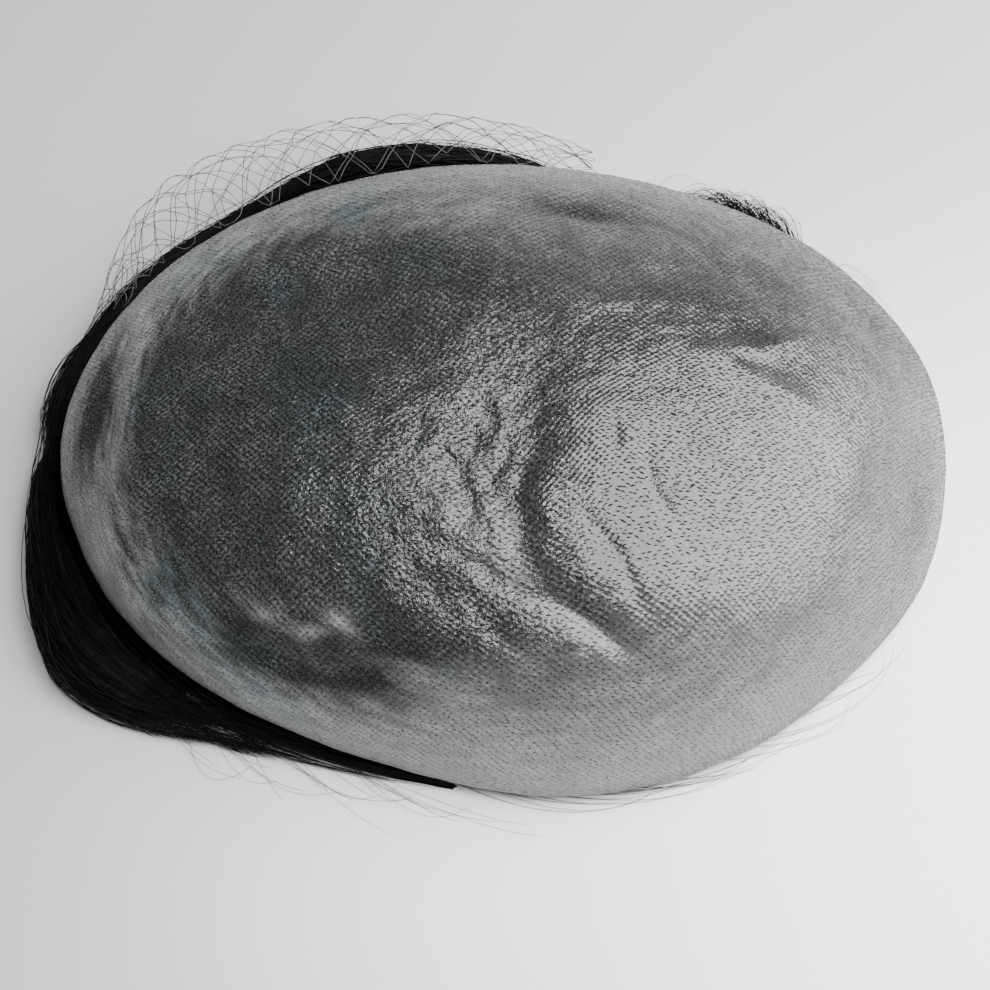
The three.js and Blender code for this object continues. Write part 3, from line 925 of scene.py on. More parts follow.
@dataclass(frozen=True)
class LoopFinish:
    """Loops of black hair in the film, paler where the film over them is milky and where the rim's
    painted light falls.
    """

    name: str = "hair_loops"
    dark: float = 0.004
    light: float = 0.02
    milky: float = 0.3
    tint: tuple[float, float, float] = (1.0, 1.0, 1.0)
    gloss: float = 0.2
    matt: float = 0.6
    shine: float = 0.3

    def material(self) -> bpy.types.Material:
        """The loops' material.

        Returns:
            The material.
        """
        nodes = Nodes.fresh(self.name)
        plain = nodes.blend(
            nodes.attribute("shade"), grey(self.dark, self.tint), grey(self.light, self.tint)
        )
        lightened = nodes.blend(nodes.attribute("haze_and_light"), plain, grey(self.milky, self.tint))
        nodes.feed(nodes.shader.inputs["Base Color"], lightened)
        rough = nodes.span(nodes.attribute("shade"), 0.7, 1, (self.matt, self.gloss))
        nodes.feed(nodes.shader.inputs["Roughness"], rough)
        nodes.shader.inputs["Specular IOR Level"].default_value = self.shine
        return nodes.material


@dataclass(frozen=True)
class ThreadFinish:
    """Fine dark thread with a faint twist along it, painted in as bands of light and shade."""

    name: str = "net_thread"
    dark: float = 0.02
    light: float = 0.07
    tint: tuple[float, float, float] = (0.97, 0.98, 1.0)
    roughness: float = 0.5
    twists: float = 60

    def material(self) -> bpy.types.Material:
        """The thread's material.

        Returns:
            The material.
        """
        nodes = Nodes.fresh(self.name)
        run = nodes.maths("MULTIPLY", nodes.attribute("run"), self.twists)
        # Painted light and shade: lighter and darker bands along the thread for its twist.
        twist_shading = nodes.maths("ABSOLUTE", nodes.maths("SINE", run))
        shade = nodes.maths("MULTIPLY", nodes.maths("ADD", twist_shading, nodes.attribute("shade")), 0.5)
        colour = nodes.blend(shade, grey(self.dark, self.tint), grey(self.light, self.tint))
        nodes.feed(nodes.shader.inputs["Base Color"], colour)
        nodes.shader.inputs["Roughness"].default_value = self.roughness
        return nodes.material


@dataclass(frozen=True)
class FloorFinish:
    """A plain pale surface with a soft sheen."""

    name: str = "pale_floor"
    level: float = 0.55
    tint: tuple[float, float, float] = (0.99, 0.99, 1.0)
    roughness: float = 0.38
    shine: float = 1.0
    glaze: float = 1.95
    cloud_scale: float = 6
    cloud_depth: float = 0.015

    def material(self) -> bpy.types.Material:
        """The floor's material.

        Returns:
            The material.
        """
        nodes = Nodes.fresh(self.name)
        place = nodes.add("ShaderNodeTexCoord").outputs["Object"]
        level = nodes.span(nodes.noise(place, self.cloud_scale, 3), 0.3, 0.7)
        low = grey(self.level - self.cloud_depth, self.tint)
        high = grey(self.level + self.cloud_depth, self.tint)
        nodes.feed(nodes.shader.inputs["Base Color"], nodes.blend(level, low, high))
        nodes.shader.inputs["Roughness"].default_value = self.roughness
        nodes.shader.inputs["Specular IOR Level"].default_value = self.shine
        nodes.shader.inputs["IOR"].default_value = self.glaze
        return nodes.material


def dress(
    piece: bpy.types.Object, material: bpy.types.Material, slot: Slot, *nodes: str
) -> bpy.types.Object:
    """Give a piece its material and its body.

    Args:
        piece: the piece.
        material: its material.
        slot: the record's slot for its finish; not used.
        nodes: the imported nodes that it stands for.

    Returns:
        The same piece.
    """
    piece.data.materials.clear()
    piece.data.materials.append(material)
    if nodes:
        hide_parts(*nodes)
    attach(piece, BODY)
    return piece


# The skin


@dataclass(frozen=True)
class HazeRow:
    """How the film turns milky towards the rim at one turn.

    It starts at a drop, is full at another, and reaches a share of the milkiest there. The share
    also holds painted light, which makes the rim paler where it is lit, most on the near side.
    """

    start: float
    full: float
    share: float


# How milky the film is every 30 degrees from +X, with painted light mixed in that makes the rim
# paler, most on the near side.
HAZE_ROWS = (
    HazeRow(0.25, 0.66, 0.39),
    HazeRow(0.15, 0.8, 0.25),
    HazeRow(0.1, 0.88, 0.46),
    HazeRow(0.2, 0.9, 0.64),
    HazeRow(0.4, 0.92, 0.65),
    HazeRow(0.48, 0.88, 0.75),
    HazeRow(0.56, 0.94, 0.65),
    HazeRow(0.6, 0.92, 0.78),
    HazeRow(0.66, 0.96, 0.95),
    HazeRow(0.48, 0.96, 1.0),
    HazeRow(0.36, 0.88, 0.64),
    HazeRow(0.25, 0.74, 0.43),
)

# Where the film stands off the hair in patches, or clings where the depth is below 0.
HAZE_PATCHES = (
    Dent(-0.8, 0.02, 0.4, 0.05, 84, 0.5),
    Dent(-0.44, -0.62, 0.1, 0.026, -34, 0.3),
    Dent(-0.36, -0.65, 0.08, 0.026, 18, 0.28),
    Dent(-0.3, -0.65, 0.07, 0.024, -37, 0.24),
    Dent(-0.46, -0.69, 0.2, 0.09, -24, 0.1),
    Dent(-0.12, -0.79, 0.14, 0.03, -22, 0.26),
    Dent(-0.26, -0.73, 0.16, 0.03, -12, 0.16),
    Dent(-0.6, 0.5, 0.36, 0.08, 30, 0.22),
    Dent(-0.16, 0.58, 0.3, 0.06, 10, 0.15),
    Dent(0.02, -0.5, 0.3, 0.06, -44, 0.08),
    Dent(-0.88, 0.08, 0.26, 0.05, 78, -0.5),
    Dent(-0.4, -0.72, 0.26, 0.07, -12, -0.4),
    Dent(0.62, 0.12, 0.3, 0.06, -34, -0.2),
    Dent(0.2, 0.64, 0.2, 0.06, -8, -0.35),
    Dent(0.88, 0.36, 0.18, 0.06, -52, -0.3),
    Dent(0.92, -0.22, 0.2, 0.06, 70, -0.3),
)

# Where the film is lumpy over the hair's loops, or drawn smooth where the depth is below 0.
LUMP_PATCHES = (
    Dent(-0.05, -0.24, 0.4, 0.18, 78, 0.6),
    Dent(0.1, 0.1, 0.3, 0.2, 60, 0.1),
    Dent(-0.02, -0.55, 0.4, 0.14, -36, 0.3),
    Dent(0.42, -0.3, 0.42, 0.36, 0, -0.45),
    Dent(0.07, -0.2, 0.42, 0.05, 86, -0.15),
    Dent(0.55, 0.12, 0.3, 0.14, -30, 0.15),
)


@dataclass
class SkinBase:
    """The thin skin: its film and the loops of hair knotted through it in close rows."""

    dome: Dome
    flat: FlatMap
    turns: int = 350
    drops: int = 132
    wall: float = 0.8 * MM
    loop_pitch: float = 1.8 * MM
    row_pitch: float = 1.72 * MM
    loop_length: float = 1.45 * MM
    loop_width: float = 0.56 * MM
    loop_height: float = 0.24 * MM
    loop_bend: float = 0.05 * MM
    missing_share: float = 0.04
    crumple: float = 0.3 * MM
    crumple_scale: float = 120
    haze_power: float = 1.4
    plain_lumps: float = 0.35
    crease_end: float = 0.35
    crumple_floor: float = 0.3
    jitter: tuple[float, float] = (0.13, 0.09)
    lean: float = 17
    sizes: tuple[float, float] = (0.65, 1.2)
    flipped: float = 0.3
    loop_drops: tuple[float, float] = (0.004, 0.992)
    loop_seat: float = 0.01 * MM
    comb: float = 5
    comb_reach: float = 100 * MM
    film: FilmFinish = field(default_factory=FilmFinish)
    loops: LoopFinish = field(default_factory=LoopFinish)

    def build(self) -> list[bpy.types.Object]:
        """Make the film and its loops.

        Returns:
            The two pieces.
        """
        film = dress(self.film_piece(), self.film.material(), Slot.FILM, "skin_base")
        loops = dress(self.loop_piece(), self.loops.material(), Slot.HAIR)
        return [film, loops]

    def surface(self, turn: np.ndarray, drop: np.ndarray, distance: float = 0) -> np.ndarray:
        """Points off the film's outer face, with its creases and its crumple.

        Args:
            turn: turns round the dome, in degrees.
            drop: shares of the way down from the crown, at 0, to the rim, at 1.
            distance: how far off the face the points lie.

        Returns:
            The points.
        """
        plain = self.dome.plain_point(turn, drop)
        depth = self.crease_depth(plain) + self.crumple_depth(plain)
        base = self.dome.surface(turn, drop, distance)
        return base - self.dome.plain_normal(turn, drop) * depth[..., None]

    def crease_depth(self, plain: np.ndarray) -> np.ndarray:
        """How deep the creases are, each a groove that fades out at both its ends.

        Args:
            plain: points on the dome with no dents, about its own centre.

        Returns:
            The depths, in metres.
        """
        half = np.array([self.dome.length / 2, self.dome.width / 2])
        place = plain[..., :2]
        depth = np.zeros(place.shape[:-1])
        for crease in CREASES:
            way = np.array(crease.way) * half
            steps = len(way) - 1
            nearest, run = np.full(depth.shape, np.inf), np.zeros(depth.shape)
            right = np.zeros(depth.shape)
            for step, (first, last) in enumerate(zip(way[:-1], way[1:])):
                along = last - first
                share = np.clip((place - first) @ along / (along @ along), 0, 1)
                gap = place - first - share[..., None] * along
                away = np.linalg.norm(gap, axis=-1)
                turned = (gap[..., 0] * along[1] - gap[..., 1] * along[0]) / math.hypot(*along)
                closer = away < nearest
                nearest = np.where(closer, away, nearest)
                run = np.where(closer, (step + share) / steps, run)
                right = np.where(closer, np.maximum(turned, 0) / np.maximum(away, 1e-9), right)
            fade = self.crease_end + (1 - self.crease_end) * np.sin(math.pi * run)
            side = nearest / (crease.width * MM * (1 + (crease.spread - 1) * right))
            depth += crease.depth * MM * fade * np.exp(1 - np.sqrt(1 + 3 * side**2))
        return depth

    def crumple_depth(self, plain: np.ndarray) -> np.ndarray:
        """An uneven relief all over the film, stronger where it is lumpy.

        Args:
            plain: points on the dome with no dents, about its own centre.

        Returns:
            The depths, in metres.
        """
        flat = plain.reshape(-1, 3) * self.crumple_scale
        broad = np.array([noise.noise(Vector(place)) for place in flat])
        fine = np.array([noise.noise(Vector(place * 2.1)) for place in flat])
        rough = broad + 0.6 * fine
        share = self.crumple_floor + self.lumpiness(plain)
        return self.crumple * share * rough.reshape(plain.shape[:-1])

    def normal(self, turn: np.ndarray, drop: np.ndarray) -> np.ndarray:
        """Outward normals of the film's outer face.

        Args:
            turn: turns round the dome, in degrees.
            drop: shares of the way down from the crown, at 0, to the rim, at 1.

        Returns:
            The normals, each of length 1.
        """
        side, fall = 0.4, 0.004
        low, high = np.maximum(drop - fall, 0.001), np.minimum(drop + fall, 1)
        around = self.surface(turn + side, drop) - self.surface(turn - side, drop)
        down = self.surface(turn, high) - self.surface(turn, low)
        return unit_vectors(np.cross(down, around))

    def film_piece(self) -> bpy.types.Object:
        """The film: a half sphere drawn over the dome, doubled for its wall and closed.

        Returns:
            The film's object.
        """
        form = bmesh.new()
        bmesh.ops.create_uvsphere(
            form, u_segments=self.turns, v_segments=2 * self.drops, radius=1
        )
        bmesh.ops.bisect_plane(
            form,
            geom=form.verts[:] + form.edges[:] + form.faces[:],
            dist=1e-4,
            plane_co=(0, 0, 0),
            plane_no=(0, 0, 1),
            clear_inner=True,
        )
        inner = form.verts.layers.float.new("inner")
        doubled = bmesh.ops.duplicate(form, geom=form.verts[:] + form.edges[:] + form.faces[:])
        copied = doubled["geom"]
        for part in copied:
            if isinstance(part, bmesh.types.BMVert):
                part[inner] = 1
        faces = [part for part in copied if isinstance(part, bmesh.types.BMFace)]
        bmesh.ops.reverse_faces(form, faces=faces)
        bmesh.ops.bridge_loops(form, edges=[edge for edge in form.edges if edge.is_boundary])
        mesh = mesh_of("skin_film", form)
        count = len(mesh.vertices)
        unit = np.empty(count * 3)
        mesh.vertices.foreach_get("co", unit)
        unit = unit.reshape(-1, 3)
        is_inner = np.empty(count)
        mesh.attributes["inner"].data.foreach_get("value", is_inner)
        turn = np.degrees(np.arctan2(unit[:, 1], unit[:, 0]))
        drop = np.arccos(np.clip(unit[:, 2], 0, 1)) / (math.pi / 2)
        outer_face = self.surface(turn, drop)
        inward = self.dome.plain_normal(turn, drop) * (self.wall * is_inner)[:, None]
        mesh.vertices.foreach_set("co", (outer_face - inward).ravel())
        mesh.attributes.remove(mesh.attributes["inner"])
        self.map_film(mesh, turn, drop)
        return plain_object("skin_film", mesh)

    def map_film(self, mesh: bpy.types.Mesh, turn: np.ndarray, drop: np.ndarray) -> None:
        """Give the film its UV map and the shares that its finish reads.

        Args:
            mesh: the film's mesh.
            turn: the turn of each vertex, in degrees.
            drop: the drop of each vertex, from the crown, at 0, to the rim, at 1.
        """
        flat = self.flat.place(turn, drop)
        corners = np.empty(len(mesh.loops), dtype=int)
        mesh.loops.foreach_get("vertex_index", corners)
        lattice = (flat - self.drift(flat)) / (self.loop_pitch, self.row_pitch)
        mesh.uv_layers.new(name="film").data.foreach_set("uv", lattice[corners].ravel())
        plain = self.dome.plain_point(turn, drop)
        # Both shares also hold painted light, which makes the rim paler, most on the near side.
        haze_and_light, milk_and_light = self.haze_and_light(turn, drop, plain)
        for name, values in (("haze_and_light", haze_and_light), ("milk_and_light", milk_and_light), ("lumps", self.lumpiness(plain))):
            hold(mesh, name, values)
        angle, down = np.radians(turn), self.flat.arc(turn, drop) * self.comb
        combed = np.stack(
            [self.comb_reach * np.cos(angle), self.comb_reach * np.sin(angle), down], axis=-1
        )
        held = mesh.attributes.new("combed", "FLOAT_VECTOR", "POINT")
        held.data.foreach_set("vector", combed.ravel())

    def drift(self, flat: np.ndarray) -> np.ndarray:
        """How far the rows of loops wander, as they do where the film was drawn over a form.

        Args:
            flat: places in the flat, as pairs in metres.

        Returns:
            How far each place moves along and across, in metres.
        """
        u, v = flat[..., 0] / MM, flat[..., 1] / MM
        along = 1.6 * np.sin(v / 13 + 0.6) + 0.9 * np.sin(u / 17 - v / 9)
        across = 2.4 * np.sin(u / 31 + 0.4) + 1.1 * np.sin(u / 14 + v / 19)
        return np.stack([along, across], axis=-1) * MM

    def haze_and_light(
        self, turn: np.ndarray, drop: np.ndarray, plain: np.ndarray
    ) -> tuple[np.ndarray, np.ndarray]:
        """How far the film stands off the hair, and how milky it looks where it does, both with
        painted light mixed in that makes the rim paler.

        Args:
            turn: the turns of some points of the film.
            drop: their drops.
            plain: the same points on the dome with no dents.

        Returns:
            Two shares from 0 to 1 for each point.
        """
        place = np.asarray(turn) * len(HAZE_ROWS) / 360
        start, full, milk_and_light = (
            smooth_at([getattr(row, name) for row in HAZE_ROWS], place, True)
            for name in ("start", "full", "share")
        )
        patches = self.dome.relief(plain[..., 0], plain[..., 1], HAZE_PATCHES)
        rim = np.clip((drop - start) / (full - start), 0, 1) ** self.haze_power
        cover = rim + patches / self.dome.dent_depth
        return np.clip(cover, 0, 1), np.clip(milk_and_light, 0, 1)

    def lumpiness(self, plain: np.ndarray) -> np.ndarray:
        """How lumpy the film is over the loops, from 0 to 1."""
        patches = self.dome.relief(plain[..., 0], plain[..., 1], LUMP_PATCHES)
        return np.clip(self.plain_lumps + patches / self.dome.dent_depth, 0, 1)

    def loop_unit(self) -> Unit:
        """One loop of hair: a slim bent bead of three sides along X.

        Returns:
            The loop as a unit to repeat.
        """
        form = bmesh.new()
        bmesh.ops.create_uvsphere(form, u_segments=3, v_segments=2, radius=0.5)
        bmesh.ops.rotate(form, verts=form.verts[:], matrix=Matrix.Rotation(-math.pi / 2, 3, "Y"))
        size = (self.loop_length, self.loop_width, self.loop_height)
        bmesh.ops.scale(form, verts=form.verts[:], vec=size)
        middle = [vertex for vertex in form.verts if abs(vertex.co.x) < self.loop_length / 4]
        bmesh.ops.translate(form, verts=middle, vec=(0, self.loop_bend, 0))
        return Unit.of(form)

    def loop_piece(self) -> bpy.types.Object:
        """All the loops, staggered from row to row and seated in the film's face.

        Returns:
            The loops' object.
        """
        reach = self.dome.length
        columns = np.arange(-reach / self.loop_pitch, reach / self.loop_pitch, 0.5)
        rows = np.arange(-reach / self.row_pitch, reach / self.row_pitch, 0.5)
        u, v = np.meshgrid(columns, rows)
        even = (np.rint(2 * u) + np.rint(2 * v)).astype(int) % 2 == 0
        lattice = np.stack([u[even], v[even]], axis=-1)
        draw = np.random.default_rng(7)
        jitter = draw.normal(0, self.jitter, lattice.shape)
        flat = (lattice + jitter) * (self.loop_pitch, self.row_pitch)
        flat = flat + self.drift(flat)
        turn, drop = self.flat.turn_and_drop(flat)
        low, high = self.loop_drops
        on = (drop < high) & (drop > low) & (draw.random(len(drop)) > self.missing_share)
        turn, drop = turn[on], drop[on]
        place, normal = self.surface(turn, drop), self.normal(turn, drop)
        count = len(place)
        lean = np.radians(draw.normal(0, self.lean, count))
        along = np.stack([np.cos(lean), np.sin(lean), np.zeros(count)], axis=-1)
        along = unit_vectors(along - normal * (along * normal).sum(-1, keepdims=True))
        across = np.cross(normal, along)
        unit = self.loop_unit()
        size = draw.uniform(*self.sizes, count)[:, None, None]
        odds = (self.flipped, 1 - self.flipped)
        flip = draw.choice((-1.0, 1.0), count, p=odds)[:, None, None]
        points = unit.points
        copies = (
            place[:, None]
            + along[:, None] * points[None, :, 0, None] * size
            + across[:, None] * points[None, :, 1, None] * size * flip
            + normal[:, None] * (points[None, :, 2, None] * flip + self.loop_seat)
        )
        mesh = unit.joined("hair_loops", copies)
        # The loops are paled by the milky rim and by its painted light.
        haze_and_light, milk_and_light = self.haze_and_light(turn, drop, self.dome.plain_point(turn, drop))
        for name, values in (("shade", draw.random(count)), ("haze_and_light", haze_and_light * milk_and_light)):
            hold(mesh, name, np.repeat(values, len(points)))
        return plain_object("hair_loops", mesh)


# The hair


@dataclass
class PackedForm:
    """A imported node's solid, which hair is laid over."""

    node: str
    tree: BVHTree = field(init=False)

    def __post_init__(self) -> None:
        """Make the solid's search tree."""
        form = self.copied()
        self.tree = BVHTree.FromBMesh(form)
        form.free()

    def copied(self) -> bmesh.types.BMesh:
        """A copy of the node's mesh with its loose triangles joined up.

        Returns:
            The copy, as a bmesh.
        """
        form = bmesh.new()
        form.from_mesh(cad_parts[self.node].data)
        bmesh.ops.remove_doubles(form, verts=form.verts[:], dist=WELD)
        return form

    def skin(self, origins: np.ndarray, aims: np.ndarray) -> np.ndarray:
        """Where rays first meet the solid, and no numbers where they miss.

        Args:
            origins: where the rays start.
            aims: where they point, as unit vectors.

        Returns:
            One point for each ray.
        """
        shape = origins.shape
        found = [
            self.tree.ray_cast(Vector(origin), Vector(aim))[0]
            for origin, aim in zip(origins.reshape(-1, 3), aims.reshape(-1, 3))
        ]
        missed = (math.nan,) * 3
        return np.array([missed if point is None else point[:] for point in found]).reshape(shape)

    def body(self, name: str, shrink: float, rounds: int, sunk: float = 0) -> bpy.types.Object:
        """A smooth dark mass inside the solid's outer face, for the hair to lie on: black hair,
        made darker as painted shade between the strands.

        Args:
            name: the piece's name.
            shrink: how far its face is drawn in.
            rounds: how many times it is smoothed.
            sunk: how far its top is drawn in besides.

        Returns:
            The piece.
        """
        form = self.copied()
        bmesh.ops.subdivide_edges(form, edges=form.edges[:], cuts=1, use_grid_fill=True)
        for _ in range(rounds):
            bmesh.ops.smooth_vert(
                form,
                verts=form.verts[:],
                factor=0.4,
                use_axis_x=True,
                use_axis_y=True,
                use_axis_z=True,
            )
        form.normal_update()
        for vertex in form.verts:
            deeper = sunk * max(vertex.normal.z, 0) ** 2
            vertex.co -= vertex.normal * (shrink + deeper)
            vertex.co.z = max(vertex.co.z, 0)
        mesh = mesh_of(name, form)
        # Painted shade: the mass takes a tone near the dark end, so that the gaps between strands
        # look black.
        hold(mesh, "shade", [MASS_SHADE] * len(mesh.vertices))
        return plain_object(name, mesh)


def whole_runs(paths: np.ndarray, least: int) -> np.ndarray:
    """The longest unbroken run of each path, spread over as many points again.

    Args:
        paths: paths whose missing points hold no numbers.
        least: the fewest points that a run must have.

    Returns:
        The paths that are long enough.
    """
    kept = []
    points = paths.shape[1]
    for path in paths:
        there = ~np.isnan(path[:, 0])
        edges = np.flatnonzero(np.diff(np.concatenate([[0], there, [0]])))
        runs = edges.reshape(-1, 2)
        if not len(runs):
            continue
        first, last = runs[np.argmax(runs[:, 1] - runs[:, 0])]
        if last - first < least:
            continue
        place = np.linspace(first, last - 1, points)
        run = np.arange(first, last)
        kept.append([np.interp(place, run, axis[first:last]) for axis in path.T])
    return np.array(kept).transpose(0, 2, 1)


def eased(paths: np.ndarray, rounds: int) -> np.ndarray:
    """The same paths, smoothed along their length with their ends kept.

    Args:
        paths: the paths, as an array of paths by points by three.
        rounds: how many times they are smoothed.

    Returns:
        The smoothed paths.
    """
    for _ in range(rounds):
        middle = (paths[:, :-2] + 2 * paths[:, 1:-1] + paths[:, 2:]) / 4
        paths = np.concatenate([paths[:, :1], middle, paths[:, -1:]], axis=1)
    return paths


@dataclass(frozen=True)
class Tail:
    """Where the hair beside the rim thins out, between two turns, till it can be seen through.

    The mass is drawn in to the rim over the ease, in degrees, to a share of its width. Few
    strands run far past the first turn, and the fewer the smaller the power is.
    """

    first: float = 400
    last: float = 400
    ease: float = 14
    share: float = 0.3
    power: float = 0.05

    def thin(self, dome: Dome, mass: bpy.types.Object) -> None:
        """Draw a mass in to the rim past the first turn.

        Args:
            dome: the dome whose rim the mass lies along.
            mass: the mass of hair, whose mesh is changed.
        """
        centre = Vector((*dome.centre, 0))
        for vertex in mass.data.vertices:
            place = vertex.co - centre
            u, v = place.x / (dome.length / 2), place.y / (dome.width / 2)
            turn = math.degrees(math.atan2(v, u)) % 360
            far = math.hypot(u, v) / float(dome.rim_share("reach", turn))
            fade = min(max((turn - self.first) / self.ease, 0), 1)
            drawn = 1 - (1 - self.share) * fade * fade * (3 - 2 * fade)
            if far > 1 and turn < self.last:
                scale = (1 + (far - 1) * drawn) / far
                vertex.co.x = centre.x + place.x * scale
                vertex.co.y = centre.y + place.y * scale

    def limits(self, draws: np.ndarray) -> np.ndarray:
        """The turns that strands may run to, from random numbers."""
        return self.first + (self.last - self.first) * draws ** (1 / self.power)


NAPE_TAIL = Tail(222, 268)


@dataclass
class HairBunch:
    """A bunch of hair beside the bed: a dark mass and the strands that run along the rim."""

    dome: Dome
    node: str
    turns: tuple[float, float]
    strands: int
    seed: int
    sweep: tuple[float, float] = (18, 55)
    tilt: tuple[float, float] = (2, 112)
    points: int = 14
    radius: tuple[float, float] = (0.09 * MM, 0.17 * MM)
    stray_share: float = 0.06
    stray_lift: float = 3.0 * MM
    wander: float = 14
    hub: tuple[float, float] = (1 * MM, 1 * MM)
    reach: float = 60 * MM
    tail: Tail = Tail()
    mass_inset: float = 0.35 * MM
    wave: float = 5
    widest_tilt: float = 125
    lifts: tuple[float, float] = (0.02 * MM, 0.3 * MM)

    def build(self, hair: bpy.types.Material) -> list[bpy.types.Object]:
        """Make the mass and its strands.

        Args:
            hair: the hair's material.

        Returns:
            The mass and the strands.
        """
        form = PackedForm(self.node)
        mass = form.body(f"{self.node}_mass", self.mass_inset, 2)
        self.tail.thin(self.dome, mass)
        dress(mass, hair, Slot.HAIR, self.node)
        return [mass, self.locks(form, f"{self.node}_strands", hair)]

    def locks(
        self, form: PackedForm, name: str, hair: bpy.types.Material
    ) -> bpy.types.Object:
        """Make the strands as one piece.

        Args:
            form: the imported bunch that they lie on.
            name: the piece's name.
            hair: the hair's material.

        Returns:
            The strands' object.
        """
        paths = self.paths(form)
        radii = tapered(*paths.shape[:2], self.radius, self.seed + 1)
        return dress(plain_object(name, swept(name, paths, radii)), hair, Slot.HAIR)

    def paths(self, form: PackedForm) -> np.ndarray:
        """Where the strands run: over the solid's face, in long slants along the rim.

        Args:
            form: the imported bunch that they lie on.

        Returns:
            The paths, as an array of strands by points by three.
        """
        draw = np.random.default_rng(self.seed)
        first, last = self.turns
        share = np.linspace(0, 1, self.points)
        span = draw.uniform(*self.sweep, self.strands)[:, None]
        start = draw.uniform(first - 0.4 * span[:, 0], last - 0.6 * span[:, 0])[:, None]
        start = np.minimum(start, self.tail.limits(draw.random(self.strands))[:, None] - span)
        turn = start + span * share
        low, high = self.tilt
        lean = draw.uniform(low, high, self.strands)[:, None]
        wander = draw.normal(0, self.wander, self.strands)[:, None]
        wave = draw.normal(0, self.wave, self.strands)[:, None]
        phase = draw.uniform(0, 2 * math.pi, self.strands)[:, None]
        lean = lean + wander * (share - 0.5) * 2 + wave * np.sin(phase + 5 * share)
        angle = np.radians(np.clip(lean, 0, self.widest_tilt))
        out = self.dome.outward(turn)
        aim = out * np.cos(angle)[..., None]
        aim[..., 2] = np.sin(angle)
        hub = self.dome.beside_rim(turn, np.full(turn.shape, self.hub[0]), self.hub[1])
        found = self.meet(form, hub + aim * self.reach, -aim)
        lift = draw.uniform(*self.lifts, self.strands)[:, None]
        strays = draw.random(self.strands) < self.stray_share
        loose = np.where(strays, draw.uniform(0.2, 1, self.strands), 0)[:, None]
        lift = lift + loose * self.stray_lift * self.rise(share)
        found = found + aim * lift[..., None]
        paths = eased(whole_runs(found, 5), 2)
        paths[..., 2] = np.maximum(paths[..., 2], self.radius[1])
        return paths

    def rise(self, share: np.ndarray) -> np.ndarray:
        """How a stray strand stands off along its length."""
        return np.sin(math.pi * share) ** 1.5

    def meet(self, form: PackedForm, origins: np.ndarray, aims: np.ndarray) -> np.ndarray:
        """Where the strands' rays meet the solid."""
        return form.skin(origins, aims)


@dataclass
class HairFuzz(HairBunch):
    """Short fine hairs that stand off a bunch and soften its edge."""

    sweep: tuple[float, float] = (2.5, 8)
    points: int = 6
    radius: tuple[float, float] = (0.05 * MM, 0.08 * MM)
    stray_share: float = 1.0
    wander: float = 24.0

    def build(self, hair: bpy.types.Material) -> list[bpy.types.Object]:
        """Make the hairs."""
        return [self.locks(PackedForm(self.node), f"{self.node}_fuzz", hair)]

    def rise(self, share: np.ndarray) -> np.ndarray:
        """How a hair stands off along its length, furthest at its free end."""
        return share**1.5


@dataclass
class HairBridge(HairBunch):
    """Strands that run on from one bunch onto the next, over the gap between them."""

    onto: str = "hair_lobe"

    def build(self, hair: bpy.types.Material) -> list[bpy.types.Object]:
        """Make the strands."""
        return [self.locks(PackedForm(self.node), f"{self.node}_bridge", hair)]

    def meet(self, form: PackedForm, origins: np.ndarray, aims: np.ndarray) -> np.ndarray:
        """Where the rays meet either bunch, and straight across where they miss both.

        Args:
            form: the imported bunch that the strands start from.
            origins: where the rays start.
            aims: which way they point.

        Returns:
            Where they end, for each of the rays.
        """
        near, far = form.skin(origins, aims), PackedForm(self.onto).skin(origins, aims)
        found = np.where(np.isnan(near), far, near)
        for path in found:
            there = np.flatnonzero(~np.isnan(path[:, 0]))
            if len(there) < 2:
                continue
            inside = np.arange(there[0], there[-1] + 1)
            for axis in range(3):
                path[inside, axis] = np.interp(inside, there, path[there, axis])
        return found


